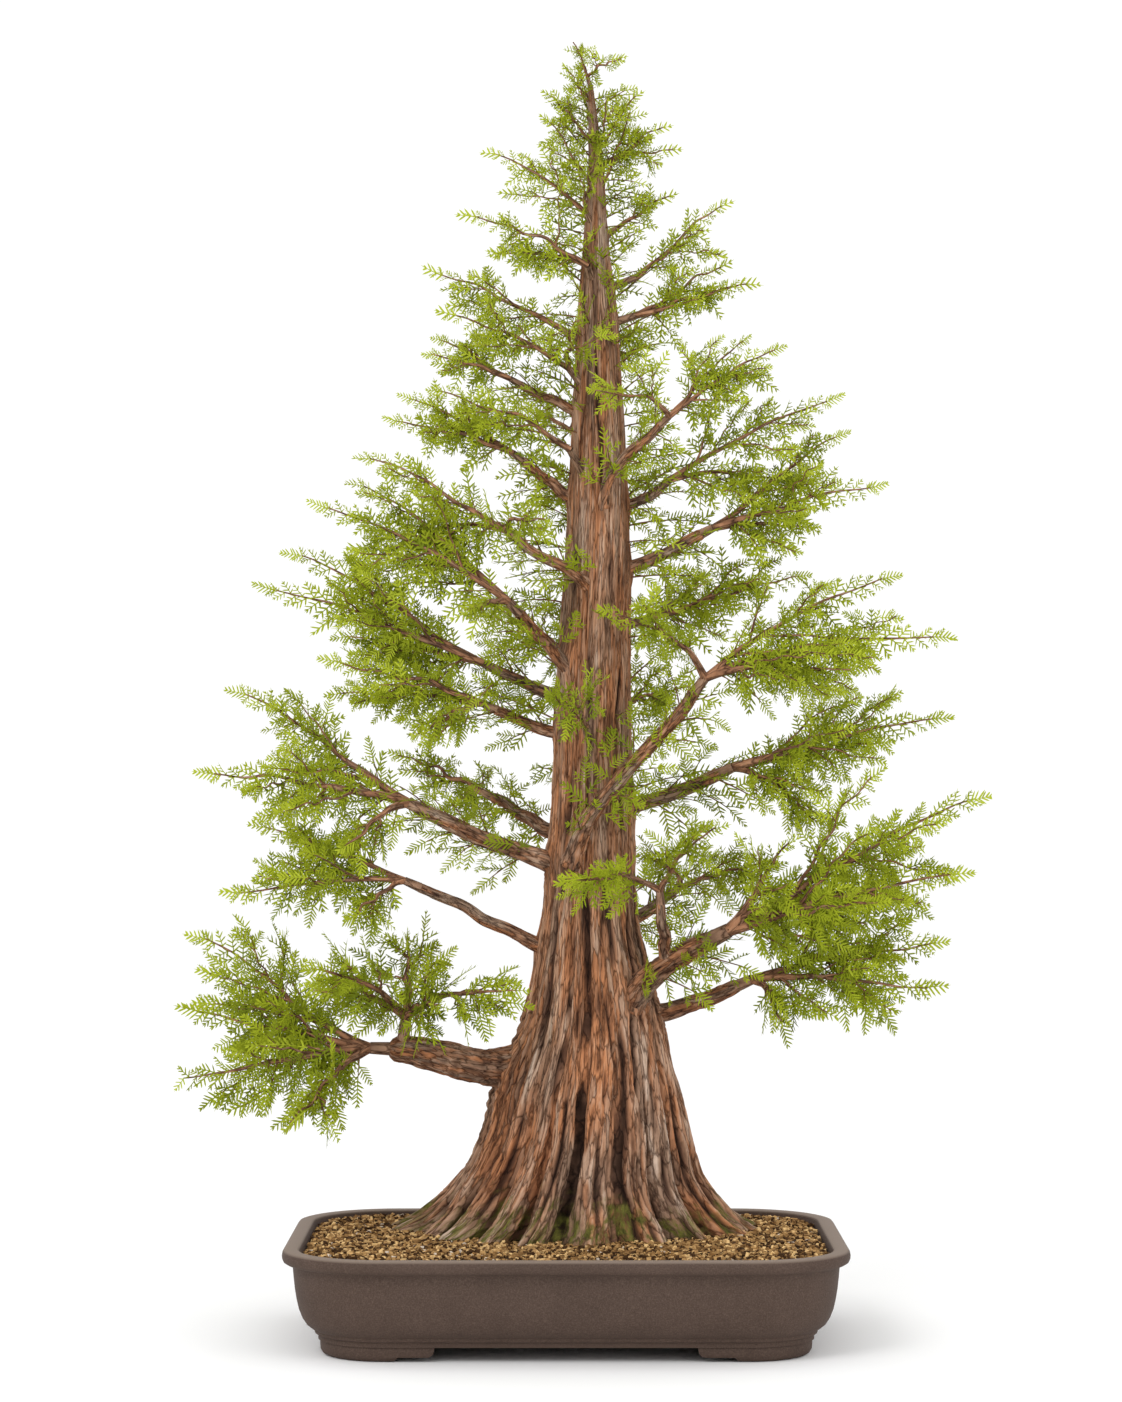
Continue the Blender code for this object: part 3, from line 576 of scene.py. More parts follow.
def trunkSurface(u, h):
    # the fluted flare: root lobes round the foot that run up the trunk and fade
    phase = 2 * math.pi * u
    count = trunk["rootCount"]
    wave = count / 2 * phase
    lobe = np.abs(np.cos(wave)) ** 0.62
    valley = np.floor(wave / math.pi) % count  # which cleft lies here, for its own depth
    deep = np.random.default_rng(11).random(count)[valley.astype(int)]
    lobeNumber = np.floor(wave / math.pi + 0.5) % count
    long = np.random.default_rng(12).random(count)[lobeNumber.astype(int)] - 0.5
    look = trunk["clefts"]
    depth = (look["foot"] + look["footPlay"] * deep) * np.exp(-h / (70 * mm))
    depth = depth + (look["above"] + look["abovePlay"] * deep) * np.exp(-h / (400 * mm))
    uneven = 1 + 0.07 * np.exp(-h / (60 * mm)) * np.sin(3 * phase + 0.6)
    uneven = uneven + 0.10 * long * lobe * np.exp(-h / (16 * mm))
    angle = phase + 0.055 * np.sin(2 * phase + 1.0) + 0.04 * np.sin(5 * phase)
    angle = angle + 0.05 * np.exp(-h / (220 * mm)) * (smoothNoise(u, h / (45 * mm), 9, 21) - 0.5)
    radius = betweenStations(h, 1) * uneven * (1 - depth * (1 - lobe))
    flat = 0.96 - 0.30 * np.exp(-h / (90 * mm))
    x = betweenStations(h, 2) + treeShift.x + radius * np.cos(angle)
    y = trunk["y"] + treeShift.y + radius * np.sin(angle) * flat
    return np.stack((x, y, groundLevel + h), axis=-1), lobe


def gridNormals(grid):
    # outward normals of rows of points that close round a limb
    around = np.roll(grid, -1, axis=1) - np.roll(grid, 1, axis=1)
    normals = np.cross(around, np.gradient(grid, axis=0))
    return normals / np.maximum(np.linalg.norm(normals, axis=2, keepdims=True), 1e-12)


def trunkZones():
    # the foot has closer rows and twice the columns; s is the length along the bark
    lowHeights = trunk["lowTop"] * np.linspace(0, 1, trunk["lowRows"]) ** 1.25
    highHeights = np.linspace(trunk["lowTop"], trunk["height"], trunk["highRows"] + 1)[1:]
    u, h = np.meshgrid(np.arange(trunk["columns"]) / trunk["columns"], lowHeights)
    grid, lobe = trunkSurface(u, h)
    steps = np.linalg.norm(np.diff(grid, axis=0), axis=2).mean(1)
    s = np.concatenate(([0], np.cumsum(steps)))[:, None] + np.zeros(u.shape)
    low = (u, h, s, grid, lobe)
    half = trunk["columns"] // 2
    u, h = np.meshgrid(np.arange(half) / half, highHeights)
    grid, lobe = trunkSurface(u, h)
    return low, (u, h, s[-1, 0] + h - trunk["lowTop"], grid, lobe)


def collarSwell(grid, collars):
    # the skin swells and wrinkles where boughs leave it
    look = trunk["collar"]
    swell, wrinkle = np.zeros(grid.shape[:2]), np.zeros(grid.shape[:2])
    for place, radius in collars:
        gap = grid - np.array(place)
        reach = np.sqrt(gap[..., 0] ** 2 + gap[..., 1] ** 2 + (gap[..., 2] * 0.75) ** 2)
        near = np.exp(-(reach / (look["reach"] * radius)) ** 2)
        swell += look["swell"] * radius * near
        wave = np.cos(2 * math.pi * reach / (look["wrinkleStep"] * radius))
        wrinkle += look["wrinkle"] * radius * near * wave
    return swell, wrinkle


def grainAround(u, s, radius, stretch):
    # places on a straight round rod, on which the bark's fibres are drawn
    turn = 2 * math.pi * u
    return np.stack((np.cos(turn) * radius, np.sin(turn) * radius, s / stretch), axis=-1)


def trunkBark(zone, collars):
    # points with the bark's relief, with their shade, greyness and moss, and the run of the grain
    u, h, s, grid, lobe = zone
    girth = 2 * math.pi * betweenStations(h, 1)
    size = np.clip(girth / (220 * mm), 0.22, 1.5)
    strips, splits = trunk["strips"], trunk["splits"]
    groove, height, tint = barkStrips(u, s, girth, strips, strips["groove"] * size, 31)
    split, splitHeight, splitTint = barkStrips(u, s, girth, splits, splits["groove"] * size ** 0.5, 47)
    edge, flake, _ = barkPlates(u, s, girth, trunk["flakes"], 63)
    chip = easeStep(0.0, 0.25, edge)
    deep = trunk["relief"]
    relief = size * mm * (deep["strip"] * (height - 0.5) - deep["groove"] * groove
                          + deep["splitStrip"] * (splitHeight - 0.5) - deep["split"] * split)
    relief = relief + np.minimum(size, 1) * mm * (deep["flake"] * (flake - 0.5) + deep["chip"] * (chip - 1))
    swell, wrinkle = collarSwell(grid, collars)
    grid = grid + gridNormals(grid) * (relief + swell + wrinkle)[..., None]
    tone = trunk["shade"]
    shade = tone["middle"] + tone["foot"] * np.exp(-h / (220 * mm)) + tone["strip"] * (height - 0.5)
    shade = shade + tone["splitStrip"] * (splitHeight - 0.5) + tone["flake"] * (flake - 0.5)
    # painted shade at the flakes' edges and in the troughs of the collars' wrinkles, paler on their ridges
    shade = shade + tone["chip"] * (chip - 1) + 22 * wrinkle
    # painted shade deep in the clefts between the root lobes, darkest at the soil
    shade = shade * (1 - tone["cleft"] * (1 - lobe) ** 1.1 * np.exp(-h / (58 * mm)))
    young = easeStep(*trunk["youngFrom"], h / trunk["height"])
    smooth = 1 - 0.7 * young
    # painted shade in the grooves and splits, weaker on the smooth young top
    shade = shade * (1 - tone["groove"] * groove * smooth) * (1 - tone["split"] * split * smooth)
    shade = shade + tone["tip"] * young
    patch = smoothNoise(u, s / (70 * mm), 16, 71)
    grey = 0.80 * easeStep(0.40, 0.80, 0.50 * patch + 0.25 * tint + 0.30 * splitTint)
    damp = easeStep(0, 1, 1 - h / trunk["mossTop"])
    tuft = smoothNoise(u, s / (14 * mm), 60, 81) * 0.55 + smoothNoise(u, s / (4 * mm), 240, 82) * 0.45
    moss = easeStep(0.55, 0.80, 0.42 * damp + 0.66 * tuft + 0.10 * (1 - lobe)) * easeStep(0, 0.3, damp)
    bark = np.stack((np.clip(shade, 0, 1), grey, moss), axis=-1)
    wide, narrow = trunk["grainRadius"]
    grain = grainAround(u, s, wide + (narrow - wide) * s / trunk["height"], trunk["grainStretch"])
    return [values.reshape(-1, 3) for values in (grid, bark, grain)]


def trunkFaces():
    # both zones, a row of three triangles to two columns that joins them, and the ends
    columns, half = trunk["columns"], trunk["columns"] // 2
    highStart = trunk["lowRows"] * columns
    low, high = ringFaces(trunk["lowRows"], columns), ringFaces(trunk["highRows"], half, highStart)
    column = np.arange(half)
    rim = highStart - columns
    a, b, c = rim + 2 * column, rim + 2 * column + 1, rim + (2 * column + 2) % columns
    d, e = highStart + column, highStart + (column + 1) % half
    joints = np.concatenate([np.stack(t, axis=-1) for t in ((a, b, d), (b, e, d), (b, c, e))])
    top = highStart + (trunk["highRows"] - 1) * half + column
    return [low, high, joints, [np.arange(columns)[::-1]], [top]]


def makeTrunk(finish, collars):
    zones = [trunkBark(zone, collars) for zone in trunkZones()]
    points, bark, grain = (np.concatenate(values) for values in zip(*zones))
    made = buildMesh("bark_trunk", points, trunkFaces(), [finish])
    addPointData(made, "bark", bark)
    addPointData(made, "grain", grain)
    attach(made, "root")
    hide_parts("trunk")
    print("trunk made,", len(made.data.polygons), "faces")


# Boughs: the same places as the solids have. Heights are on the trunk's skin, headings and rises in
# degrees (0 is to the right, 90 to the back), tips in millimetres, thick is the radius at both ends.

boughs = {
    "left_1": dict(leaves=131, heading=186, rise=2, tip=(-131, -5, 147), tipRise=8, thick=(15.6, 11.2)),
    "left_2": dict(leaves=230, heading=186, rise=24, tip=(-116, -10, 276), tipRise=22, thick=(5.6, 4.0)),
    "left_3": dict(leaves=296, heading=188, rise=18, tip=(-110, -12, 336), tipRise=26, thick=(8.0, 5.8)),
    "left_4": dict(leaves=400, heading=182, rise=14, tip=(-56, 0, 418), tipRise=24, thick=(5.2, 4.0)),
    "left_5": dict(leaves=430, heading=183, rise=18, tip=(-56, -5, 450), tipRise=24, thick=(5.4, 4.2)),
    "left_6": dict(leaves=454, heading=215, rise=44, tip=(-37, -30, 494), tipRise=40, thick=(5.8, 4.4)),
    "left_7": dict(leaves=519, heading=245, rise=30, tip=(-38, -36, 552), tipRise=42, thick=(5.4, 3.8)),
    "left_8": dict(leaves=590, heading=186, rise=32, tip=(-34, -5, 616), tipRise=36, thick=(4.8, 3.8)),
    "left_9": dict(leaves=660, heading=190, rise=20, tip=(-36, 0, 678), tipRise=30, thick=(4.2, 3.2)),
    "right_1": dict(leaves=175, heading=352, rise=14, tip=(134, -12, 197), tipRise=24, thick=(7.4, 5.8)),
    "right_2": dict(leaves=196, heading=318, rise=44, tip=(110, -42, 234), tipRise=26, thick=(11.5, 7.6)),
    "right_2_shoot": dict(parent="right_2", share=0.5, heading=256, rise=76, tip=(74, -60, 264),
                          tipRise=88, thick=(5.4, 4.0)),
    "right_3": dict(leaves=341, heading=0, rise=16, tip=(121, 0, 366), tipRise=26, thick=(6.2, 5.2)),
    "right_4": dict(leaves=306, heading=248, way=300, rise=62, tip=(100, -52, 430), tipRise=58,
                    thick=(6.6, 5.0)),
    "right_5": dict(leaves=532, heading=0, rise=20, tip=(107, 4, 558), tipRise=26, thick=(5.4, 4.4)),
    "right_6": dict(leaves=583, heading=5, rise=20, tip=(76, 0, 596), tipRise=38, thick=(4.6, 3.8)),
    "right_7": dict(leaves=588, heading=280, rise=58, tip=(74, -40, 642), tipRise=42, thick=(4.8, 3.6)),
    "back_1": dict(leaves=236, heading=58, rise=20, tip=(84, 88, 266), tipRise=22, thick=(6.4, 4.6)),
    "back_2": dict(leaves=318, heading=146, rise=18, tip=(-58, 76, 346), tipRise=18, thick=(6.2, 4.4)),
    "back_3": dict(leaves=384, heading=82, rise=20, tip=(36, 96, 412), tipRise=20, thick=(5.6, 4.2)),
}

boughLook = {
    "flakes": dict(width=3.6 * mm, length=34 * mm),
    "relief": dict(split=0.09, flake=0.10, knob=0.16, ripple=0.06),  # of the radius
    # shade follows the relief: painted shade at the flakes' edges and in the ripples' hollows, paler on
    # higher flakes
    "shade": dict(middle=0.16, split=0.22, flake=0.32, ripple=0.34),
    "twist": 0.12 / 0.22,  # turns of the bark in a metre
    "grainStretch": 5,
    "wander": 0.7 * mm,
    "rings": 56,
    "columns": (44, 26),  # round the thick boughs and the others
}


def headingVector(heading, rise):
    flat, steep = math.radians(heading), math.radians(rise)
    return Vector((math.cos(flat) * math.cos(steep), math.sin(flat) * math.cos(steep), math.sin(steep)))


def curveBetween(start, startWay, end, endWay, count):
    reach = (end - start).length
    return interpolate_bezier(start, start + startWay * reach * 0.38, end - endWay * reach * 0.34, end, count)


def trunkSide(h, heading):
    return trunkAxis(h * mm) + headingVector(heading, 0) * betweenStations(h * mm, 1)


def boughRoute(name, count):
    bough = boughs[name]
    tip = treePoint(*bough["tip"])
    if "parent" in bough:
        route = boughRoute(bough["parent"], 25)
        start = route[round(bough["share"] * (len(route) - 1))]
    else:
        start = trunkSide(bough["leaves"], bough["heading"])
    away = tip - start
    endHeading = math.degrees(math.atan2(away.y, away.x))
    onward = headingVector(bough.get("way", bough["heading"]), bough["rise"])
    route = curveBetween(start, onward, tip, headingVector(endHeading, bough["tipRise"]), count)
    return route if "parent" in bough else [start - onward * 14 * mm] + route


def boughRadius(name, share):
    root, tip = boughs[name]["thick"]
    return (root + (tip - root) * share + 0.45 * root * np.exp(-share * 9)) * mm


def resample(route, count):
    # even steps along a route, as an array
    places = np.array([tuple(p) for p in route])
    along = lengthsAlong(places)
    wanted = np.linspace(0, along[-1], count)
    return np.stack([np.interp(wanted, along, places[:, k]) for k in range(3)], axis=-1), wanted


def framesAlong(places):
    # two crossing directions at each point, carried along without twist
    tangents = np.gradient(places, axis=0)
    tangents /= np.linalg.norm(tangents, axis=1, keepdims=True)
    across = np.array(Vector(tangents[0]).orthogonal().normalized())
    sides, ups = [], []
    for tangent in tangents:
        across = across - tangent * across.dot(tangent)
        across = across / np.linalg.norm(across)
        sides.append(across)
        ups.append(np.cross(tangent, across))
    return np.array(sides), np.array(ups)


def barkTube(name, places, along, radii, columns, seed, finish):
    # a limb with flaking bark, knobs and a rounded end
    look, deep, tone = boughLook, boughLook["relief"], boughLook["shade"]
    sides, ups = framesAlong(places)
    u, s = np.meshgrid(np.arange(columns) / columns, along)
    turn = 2 * math.pi * u
    radius = radii[:, None] + np.zeros(u.shape)
    around = (u + s * look["twist"]) % 1
    edge, height, tint = barkPlates(around, s, 2 * math.pi * radius, look["flakes"], seed)
    knob = smoothNoise(u, s / (16 * mm), 4, seed + 1) - 0.5
    ripple = smoothNoise(u, s / (5 * mm), 9, seed + 2) - 0.5
    split = easeStep(0.0, 0.2, edge)
    relief = deep["split"] * (split - 1) + deep["flake"] * (height - 0.5)
    radius = radius * (1 + relief + deep["knob"] * knob + deep["ripple"] * ripple)
    outward = np.cos(turn)[..., None] * sides[:, None, :] + np.sin(turn)[..., None] * ups[:, None, :]
    grid = places[:, None, :] + outward * radius[..., None]
    # painted shade at the flakes' edges and in the ripples' hollows, paler where the bark stands higher
    shade = tone["middle"] + tone["split"] * split + tone["flake"] * height + tone["ripple"] * ripple
    grey = easeStep(0.35, 0.85, 0.55 * tint + 0.5 * smoothNoise(u, s / (30 * mm), 5, seed + 6))
    made = buildMesh(name, grid.reshape(-1, 3), tubeFaces(len(places), columns), [finish])
    noMoss = np.zeros(u.shape)
    addPointData(made, "bark", np.stack((np.clip(shade, 0, 1), grey, noMoss), axis=-1).reshape(-1, 3))
    reach = max(float(radii[len(radii) // 2]), 4 * mm)
    addPointData(made, "grain", grainAround(u, s, reach, look["grainStretch"]).reshape(-1, 3))
    return made


def makeBoughs(finish):
    look = boughLook
    total = 0
    for order, name in enumerate(boughs):
        rng = np.random.default_rng([5, order])
        places, along = resample(boughRoute(name, 40), look["rings"])
        share = np.linspace(0, 1, len(places))
        radii = boughRadius(name, share)
        end = places[-1] - places[-2]
        end /= np.linalg.norm(end)
        wander = np.sin(np.outer(share * math.pi, (2, 3, 5))) @ rng.normal(0, 1, (3, 3))
        places = places + wander * look["wander"] * np.sin(share * math.pi)[:, None] * 0.6
        dome = np.radians([25, 50, 72, 86])  # rings of the rounded end
        tip = radii[-1]
        extra = places[-1] + np.outer(np.sin(dome) * tip, end)
        places = np.vstack((places, extra))
        along = np.concatenate((along, along[-1] + np.sin(dome) * tip))
        radii = np.concatenate((radii, tip * np.cos(dome)))
        columns = look["columns"][0 if boughs[name]["thick"][0] > 10 else 1]
        made = barkTube("limb_" + name, places, along, radii, columns, 100 + 10 * order, finish)
        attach(made, "root")
        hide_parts("bough_" + name)
        total += len(made.data.polygons)
    print("boughs made,", total, "faces")


# Masses of needles, as in the solids: each grows as one stem from the tip of a bough, the one with its
# own name if no other is given, or from the trunk. The stem forks into leaders, given by the far tip in
# millimetres and a fullness.

masses = {
    "left_1_outer": dict(bough="left_1", turn=(-1.0, -0.1, 0.05), stem=14, thick=5.0, leaders=(
        (-316, -40, 126, 1.1), (-310, 12, 178, 1.1), (-306, 44, 238, 1.1), (-222, -78, 92, 1.0))),
    "left_1_inner": dict(bough="left_1", turn=(0.15, -0.35, 1.0), stem=16, thick=4.6, leaders=(
        (-30, -100, 200, 0.95), (-130, 84, 236, 1.1), (-206, -90, 218, 1.0), (-96, -92, 188, 1.0),
        (-210, -20, 196, 1.0))),
    "left_2": dict(stem=10, thick=3.4, leaders=(
        (-272, -34, 272, 1.0), (-254, 24, 326, 1.0), (-176, -50, 250, 0.9))),
    "left_3": dict(stem=12, thick=4.8, leaders=(
        (-272, 18, 436, 1.0), (-293, -36, 368, 1.1), (-180, -56, 308, 0.9))),
    "left_4": dict(stem=8, thick=3.4, leaders=(
        (-196, -28, 458, 1.0), (-194, 38, 432, 1.1), (-122, -58, 396, 0.9))),
    "left_5": dict(stem=8, thick=3.6, leaders=(
        (-228, 16, 546, 0.9), (-248, -26, 516, 0.8), (-189, 34, 478, 1.0))),
    "left_6": dict(stem=10, thick=3.8, leaders=(
        (-205, -22, 582, 0.9), (-176, 34, 604, 0.8), (-82, -76, 494, 1.0))),
    "left_7": dict(stem=8, thick=3.2, leaders=(
        (-167, -30, 620, 0.9), (-136, 24, 560, 1.0), (-12, -132, 562, 0.9))),
    "left_8": dict(stem=8, thick=3.0, leaders=((-145, -22, 648, 1.0), (-134, 20, 671, 0.9))),
    "left_9": dict(stem=7, thick=2.6, leaders=((-114, -16, 702, 1.0), (-108, 26, 718, 0.95))),
    "left_10": dict(leaves=610, heading=232, rise=46, stem=26, thick=3.2, leaders=((-110, -42, 671, 0.9),)),
    "left_11": dict(leaves=682, heading=216, rise=44, stem=18, thick=3.0, leaders=(
        (-102, -28, 734, 1.0), (12, -98, 722, 0.9))),
    "left_12": dict(leaves=717, heading=186, rise=32, stem=22, thick=3.0, leaders=((-113, 0, 770, 1.0),)),
    "left_13": dict(leaves=766, heading=250, rise=40, stem=16, thick=2.8, leaders=(
        (-85, -18, 812, 1.0), (-62, 26, 787, 0.95))),
    "left_14": dict(leaves=812, heading=236, rise=46, stem=12, thick=2.4, leaders=(
        (-65, -6, 865, 1.1), (26, -56, 856, 0.9))),
    "right_1": dict(stem=10, thick=4.4, leaders=(
        (298, -50, 198, 1.0), (306, 6, 232, 1.0), (172, -70, 172, 0.9))),
    "right_2": dict(stem=14, thick=6.2, leaders=(
        (318, -64, 290, 1.1), (338, -22, 350, 1.0), (178, -96, 318, 1.0), (262, 26, 262, 1.1))),
    "right_2_shoot": dict(stem=8, thick=3.2, leaders=((-8, -124, 286, 0.9), (120, -122, 328, 0.9))),
    "right_3": dict(stem=9, thick=4.2, leaders=(
        (308, -10, 412, 1.0), (266, 40, 392, 1.1), (222, 34, 326, 0.9))),
    "right_4": dict(stem=10, thick=4.0, leaders=(
        (265, -32, 526, 1.0), (306, -52, 476, 1.0), (22, -124, 494, 0.9), (232, -84, 448, 1.0))),
    "right_5": dict(stem=8, thick=3.6, leaders=(
        (229, 20, 642, 0.9), (255, -20, 596, 1.0), (206, 36, 566, 0.9))),
    "right_6": dict(stem=7, thick=3.2, leaders=((222, -10, 668, 0.9), (184, 34, 606, 1.0))),
    "right_7": dict(stem=7, thick=2.9, leaders=(
        (174, -36, 705, 0.9), (149, 2, 716, 0.8), (16, -108, 664, 0.9))),
    "right_8": dict(leaves=731, heading=356, rise=16, stem=20, thick=3.2, leaders=(
        (153, -8, 759, 0.95), (133, 26, 778, 0.8))),
    "right_9": dict(leaves=759, heading=0, rise=24, stem=24, thick=2.9, leaders=((131, -6, 824, 0.9),)),
    "right_10": dict(leaves=801, heading=8, rise=36, stem=14, thick=2.5, leaders=((87, 10, 833, 1.0),)),
    "right_11": dict(leaves=858, heading=352, rise=28, stem=9, thick=2.2, leaders=(
        (82, -6, 885, 1.0), (91, 16, 870, 0.8))),
    "back_1": dict(stem=9, thick=3.4, leaders=((176, 152, 292, 1.0), (64, 186, 300, 1.0))),
    "back_2": dict(stem=9, thick=3.4, leaders=((-146, 120, 384, 1.0), (-88, 184, 342, 1.0))),
    "back_3": dict(stem=9, thick=3.2, leaders=((112, 190, 440, 1.0), (10, 205, 436, 1.0))),
    "back_4": dict(leaves=458, heading=112, rise=20, stem=26, thick=4.0, leaders=(
        (-70, 176, 500, 1.0), (16, 188, 512, 1.0))),
    "back_5": dict(leaves=486, heading=36, rise=14, stem=30, thick=4.0, leaders=(
        (202, 88, 530, 1.0), (122, 146, 528, 1.0))),
    "back_6": dict(leaves=566, heading=86, rise=24, stem=24, thick=3.6, leaders=(
        (58, 166, 604, 1.0), (-26, 160, 598, 1.0))),
    "back_7": dict(leaves=636, heading=118, rise=26, stem=20, thick=3.2, leaders=((-44, 128, 672, 1.1),)),
    "back_8": dict(leaves=698, heading=66, rise=28, stem=16, thick=2.9, leaders=((62, 108, 738, 1.1),)),
    "front_1": dict(leaves=398, heading=262, rise=24, stem=20, thick=3.4, leaders=((4, -128, 428, 0.9),)),
    "apex": dict(bough="trunk", stem=7, thick=1.7, leaders=((4, 6, 957, 1.0), (47, 0, 940, 0.8))),
    "apex_left": dict(leaves=878, heading=196, rise=44, stem=5, thick=1.9, leaders=((-18, 2, 914, 0.9),)),
    "apex_right": dict(leaves=872, heading=12, rise=38, stem=5, thick=1.9, leaders=((60, 14, 916, 0.9),)),
    "apex_front": dict(leaves=866, heading=300, rise=40, stem=4, thick=1.7, leaders=((34, -34, 906, 0.9),)),
    "apex_back": dict(leaves=884, heading=100, rise=40, stem=4, thick=1.7, leaders=((10, 34, 922, 0.9),)),
    "apex_upper": dict(leaves=908, heading=190, rise=44, stem=3, thick=1.2, leaders=((-3, -6, 934, 0.9),)),
    "apex_low_left": dict(leaves=846, heading=200, rise=40, stem=4, thick=1.6, leaders=(
        (-20, -8, 893, 0.9),)),
    "apex_low_right": dict(leaves=844, heading=350, rise=34, stem=4, thick=1.6, leaders=(
        (54, -12, 899, 0.9),)),
}

pieceGroups = {
    "low_left": ("left_1_outer", "left_1_inner", "left_2", "left_3"),
    "middle_left": ("left_4", "left_5", "left_6", "left_7"),
    "high_left": ("left_8", "left_9", "left_10", "left_11", "left_12", "left_13", "left_14"),
    "low_right": ("right_1", "right_2", "right_2_shoot", "right_3"),
    "middle_right": ("right_4", "right_5", "right_6"),
    "high_right": ("right_7", "right_8", "right_9", "right_10", "right_11", "apex",
                   "apex_left", "apex_right", "apex_front", "apex_back", "apex_upper",
                   "apex_low_left", "apex_low_right"),
    "low_back": ("back_1", "back_2", "back_3", "front_1"),
    "high_back": ("back_4", "back_5", "back_6", "back_7", "back_8"),
}

growth = {
    "leaderPoints": 24,
    "leaderWood": 22,  # how many of the points the wood reaches
    "leaderSides": 6,
    "leaderWander": 1.3 * mm,
    "leaderTip": 0.50,  # radius in millimetres
    "forkSpacing": 30 * mm,  # of the side leaders
    "forksFrom": 0.10,  # share of a leader at which they begin
    "forksSpan": 0.50,
    "forkRoll": 58,  # how far they leave the level, in degrees
    "forkAngle": 38,
    "forkReach": (0.50, 0.78),
    "forkDroop": 0.08,
    "forkFullness": 0.7,
    "forkThick": 0.45,
    "forkTwigs": 0.6,  # of the side twigs that a main leader has
    "twigSpacing": 33 * mm,
    "twigsFrom": 0.03,
    "twigsEnd": 0.62,  # share of a leader that has side twigs, the rest has only sprays
    "twigRoll": 42,
    "twigSpread": 42,
    "twigReach": (0.60, 1.05),  # of the space that the mass leaves
    "massWidth": dict(share=0.40, least=22 * mm, most=74 * mm),  # share of the leader's length, and limits
    "massDepth": dict(share=0.30, least=16 * mm, most=56 * mm),
    "wedge": 0.24,  # how fast a mass widens behind the tip of a leader
    "flatness": 0.95,  # of the depth that the mass leaves
    "frontThin": 0.5,  # how much thinner the foliage on leaders towards the front is
    "twigSteps": 5,
    "twigWood": 0.74,  # woody share of a twig's length
    "twigRadius": (0.75 * mm, 0.4 * mm),
    "twigTints": 0.30,  # how far the tints of one twig's sprays are from the next
    "droop": 0.26,
    "groundGap": 8 * mm,  # nothing grows closer to the soil or to the trunk
    "trunkGap": 1.5 * mm,
    "leaderSprays": 7.0 * mm,  # from one spray to the next
    "twigSprays": 9.4 * mm,
    "spraySpread": 44,
    "sprayLength": (35 * mm, 13 * mm),  # low down and at the top of the tree
    # light picks each spray's tint: paler fresh growth at the tips, painted light higher up and outside,
    # painted shade inside
    "light": dict(leader=0.15, twig=0.9, tip=0.5, height=0.32, foot=-0.02, play=0.26, tints=2.3, first=0.8),
    "grainStretch": 7,
}

shoots = {  # short side twigs all round the upper trunk, and on the boughs above the lowest tiers
    "from": 330 * mm,
    "to": 914 * mm,
    "spacing": 4.4 * mm,
    "length": (74 * mm, 42 * mm),
    "frontHeadings": (215, 325),
    "frontLength": 34 * mm,
    "bareFront": 690 * mm,  # few of them grow in front of the trunk below this height
    "bareShare": 0.75,
    "bareBoughs": ("left_1", "left_2", "right_1", "right_2_shoot"),
    "boughBare": 0.18,
    "boughSpacing": 8 * mm,
    "boughLength": (66 * mm, 36 * mm),  # low down and at the top of the tree
    "aroundStep": math.degrees(2.4),  # from one shoot to the next round the limb
}

needle = {
    "rachis": 0.55 * mm,
    "lean": (60, 25),  # degrees from the midrib at the root, and how much less at the tip
    "shoulder": 0.66,  # where along a needle its point begins
    "shoulderWidth": 0.92,
    "long": dict(spray=21 * mm, pairs=7, needle=8.0 * mm, width=1.32 * mm, patterns=20),
    "short": dict(spray=11 * mm, pairs=4, needle=5.9 * mm, width=1.06 * mm, patterns=16),
    "shortUnder": 16 * mm,  # sprays shorter than this take the short kind
}

needleTints = {  # from the outer tips to the inner shade: paler fresh growth and painted light at the tips and high up, painted shade inside the masses
    "needles_spring_lit": (0.40, 0.46, 0.034),
    "needles_fresh_lit": (0.342, 0.397, 0.022),
    "needles_leafy": (0.280, 0.330, 0.017),
    "needles_deep": (0.238, 0.284, 0.018),
    "needles_shade": (0.192, 0.236, 0.018),
}

lowCorner = np.array(cadBounds[0]) + 0.4 * mm
highCorner = np.array(cadBounds[1]) - 0.4 * mm
up = np.array((0, 0, 1.0))


def unit(v):
    return v / math.sqrt(v @ v)


def turnedBy(angle, tangent, offset):
    return tangent * math.cos(angle) + offset * math.sin(angle)


def pointAlong(places, share):
    # the place and the direction at one share of a line of points
    step = share * (len(places) - 1)
    k = min(int(step), len(places) - 2)
    ahead = places[k + 1] - places[k]
    return places[k] + ahead * (step - k), unit(ahead)


def midrib(rib):
    # a thin stalk of three sides in two steps
    points, faces = [], []
    for t in (0.0, 0.55, 1.0):
        size = needle["rachis"] * (1 - 0.6 * t)
        for turn in (0, 2 * math.pi / 3, 4 * math.pi / 3):
            points.append(rib(t) + np.array((0, math.cos(turn), math.sin(turn))) * size)
    for ring in (0, 3):
        for k in range(3):
            a, b = ring + k, ring + (k + 1) % 3
            faces += [(a, b, b + 3), (a, b + 3, a + 3)]
    return points, faces


def addNeedle(points, faces, root, way, flatSide, reach, half):
    # a flat blade of three faces that narrows from its shoulder to its point
    start = len(points)
    shoulder = root + way * reach * needle["shoulder"]
    narrower = half * needle["shoulderWidth"]
    points += [root - flatSide * half, root + flatSide * half,
               shoulder + flatSide * narrower, shoulder - flatSide * narrower, root + way * reach]
    faces += [(start, start + 1, start + 2), (start, start + 2, start + 3), (start + 3, start + 2, start + 4)]


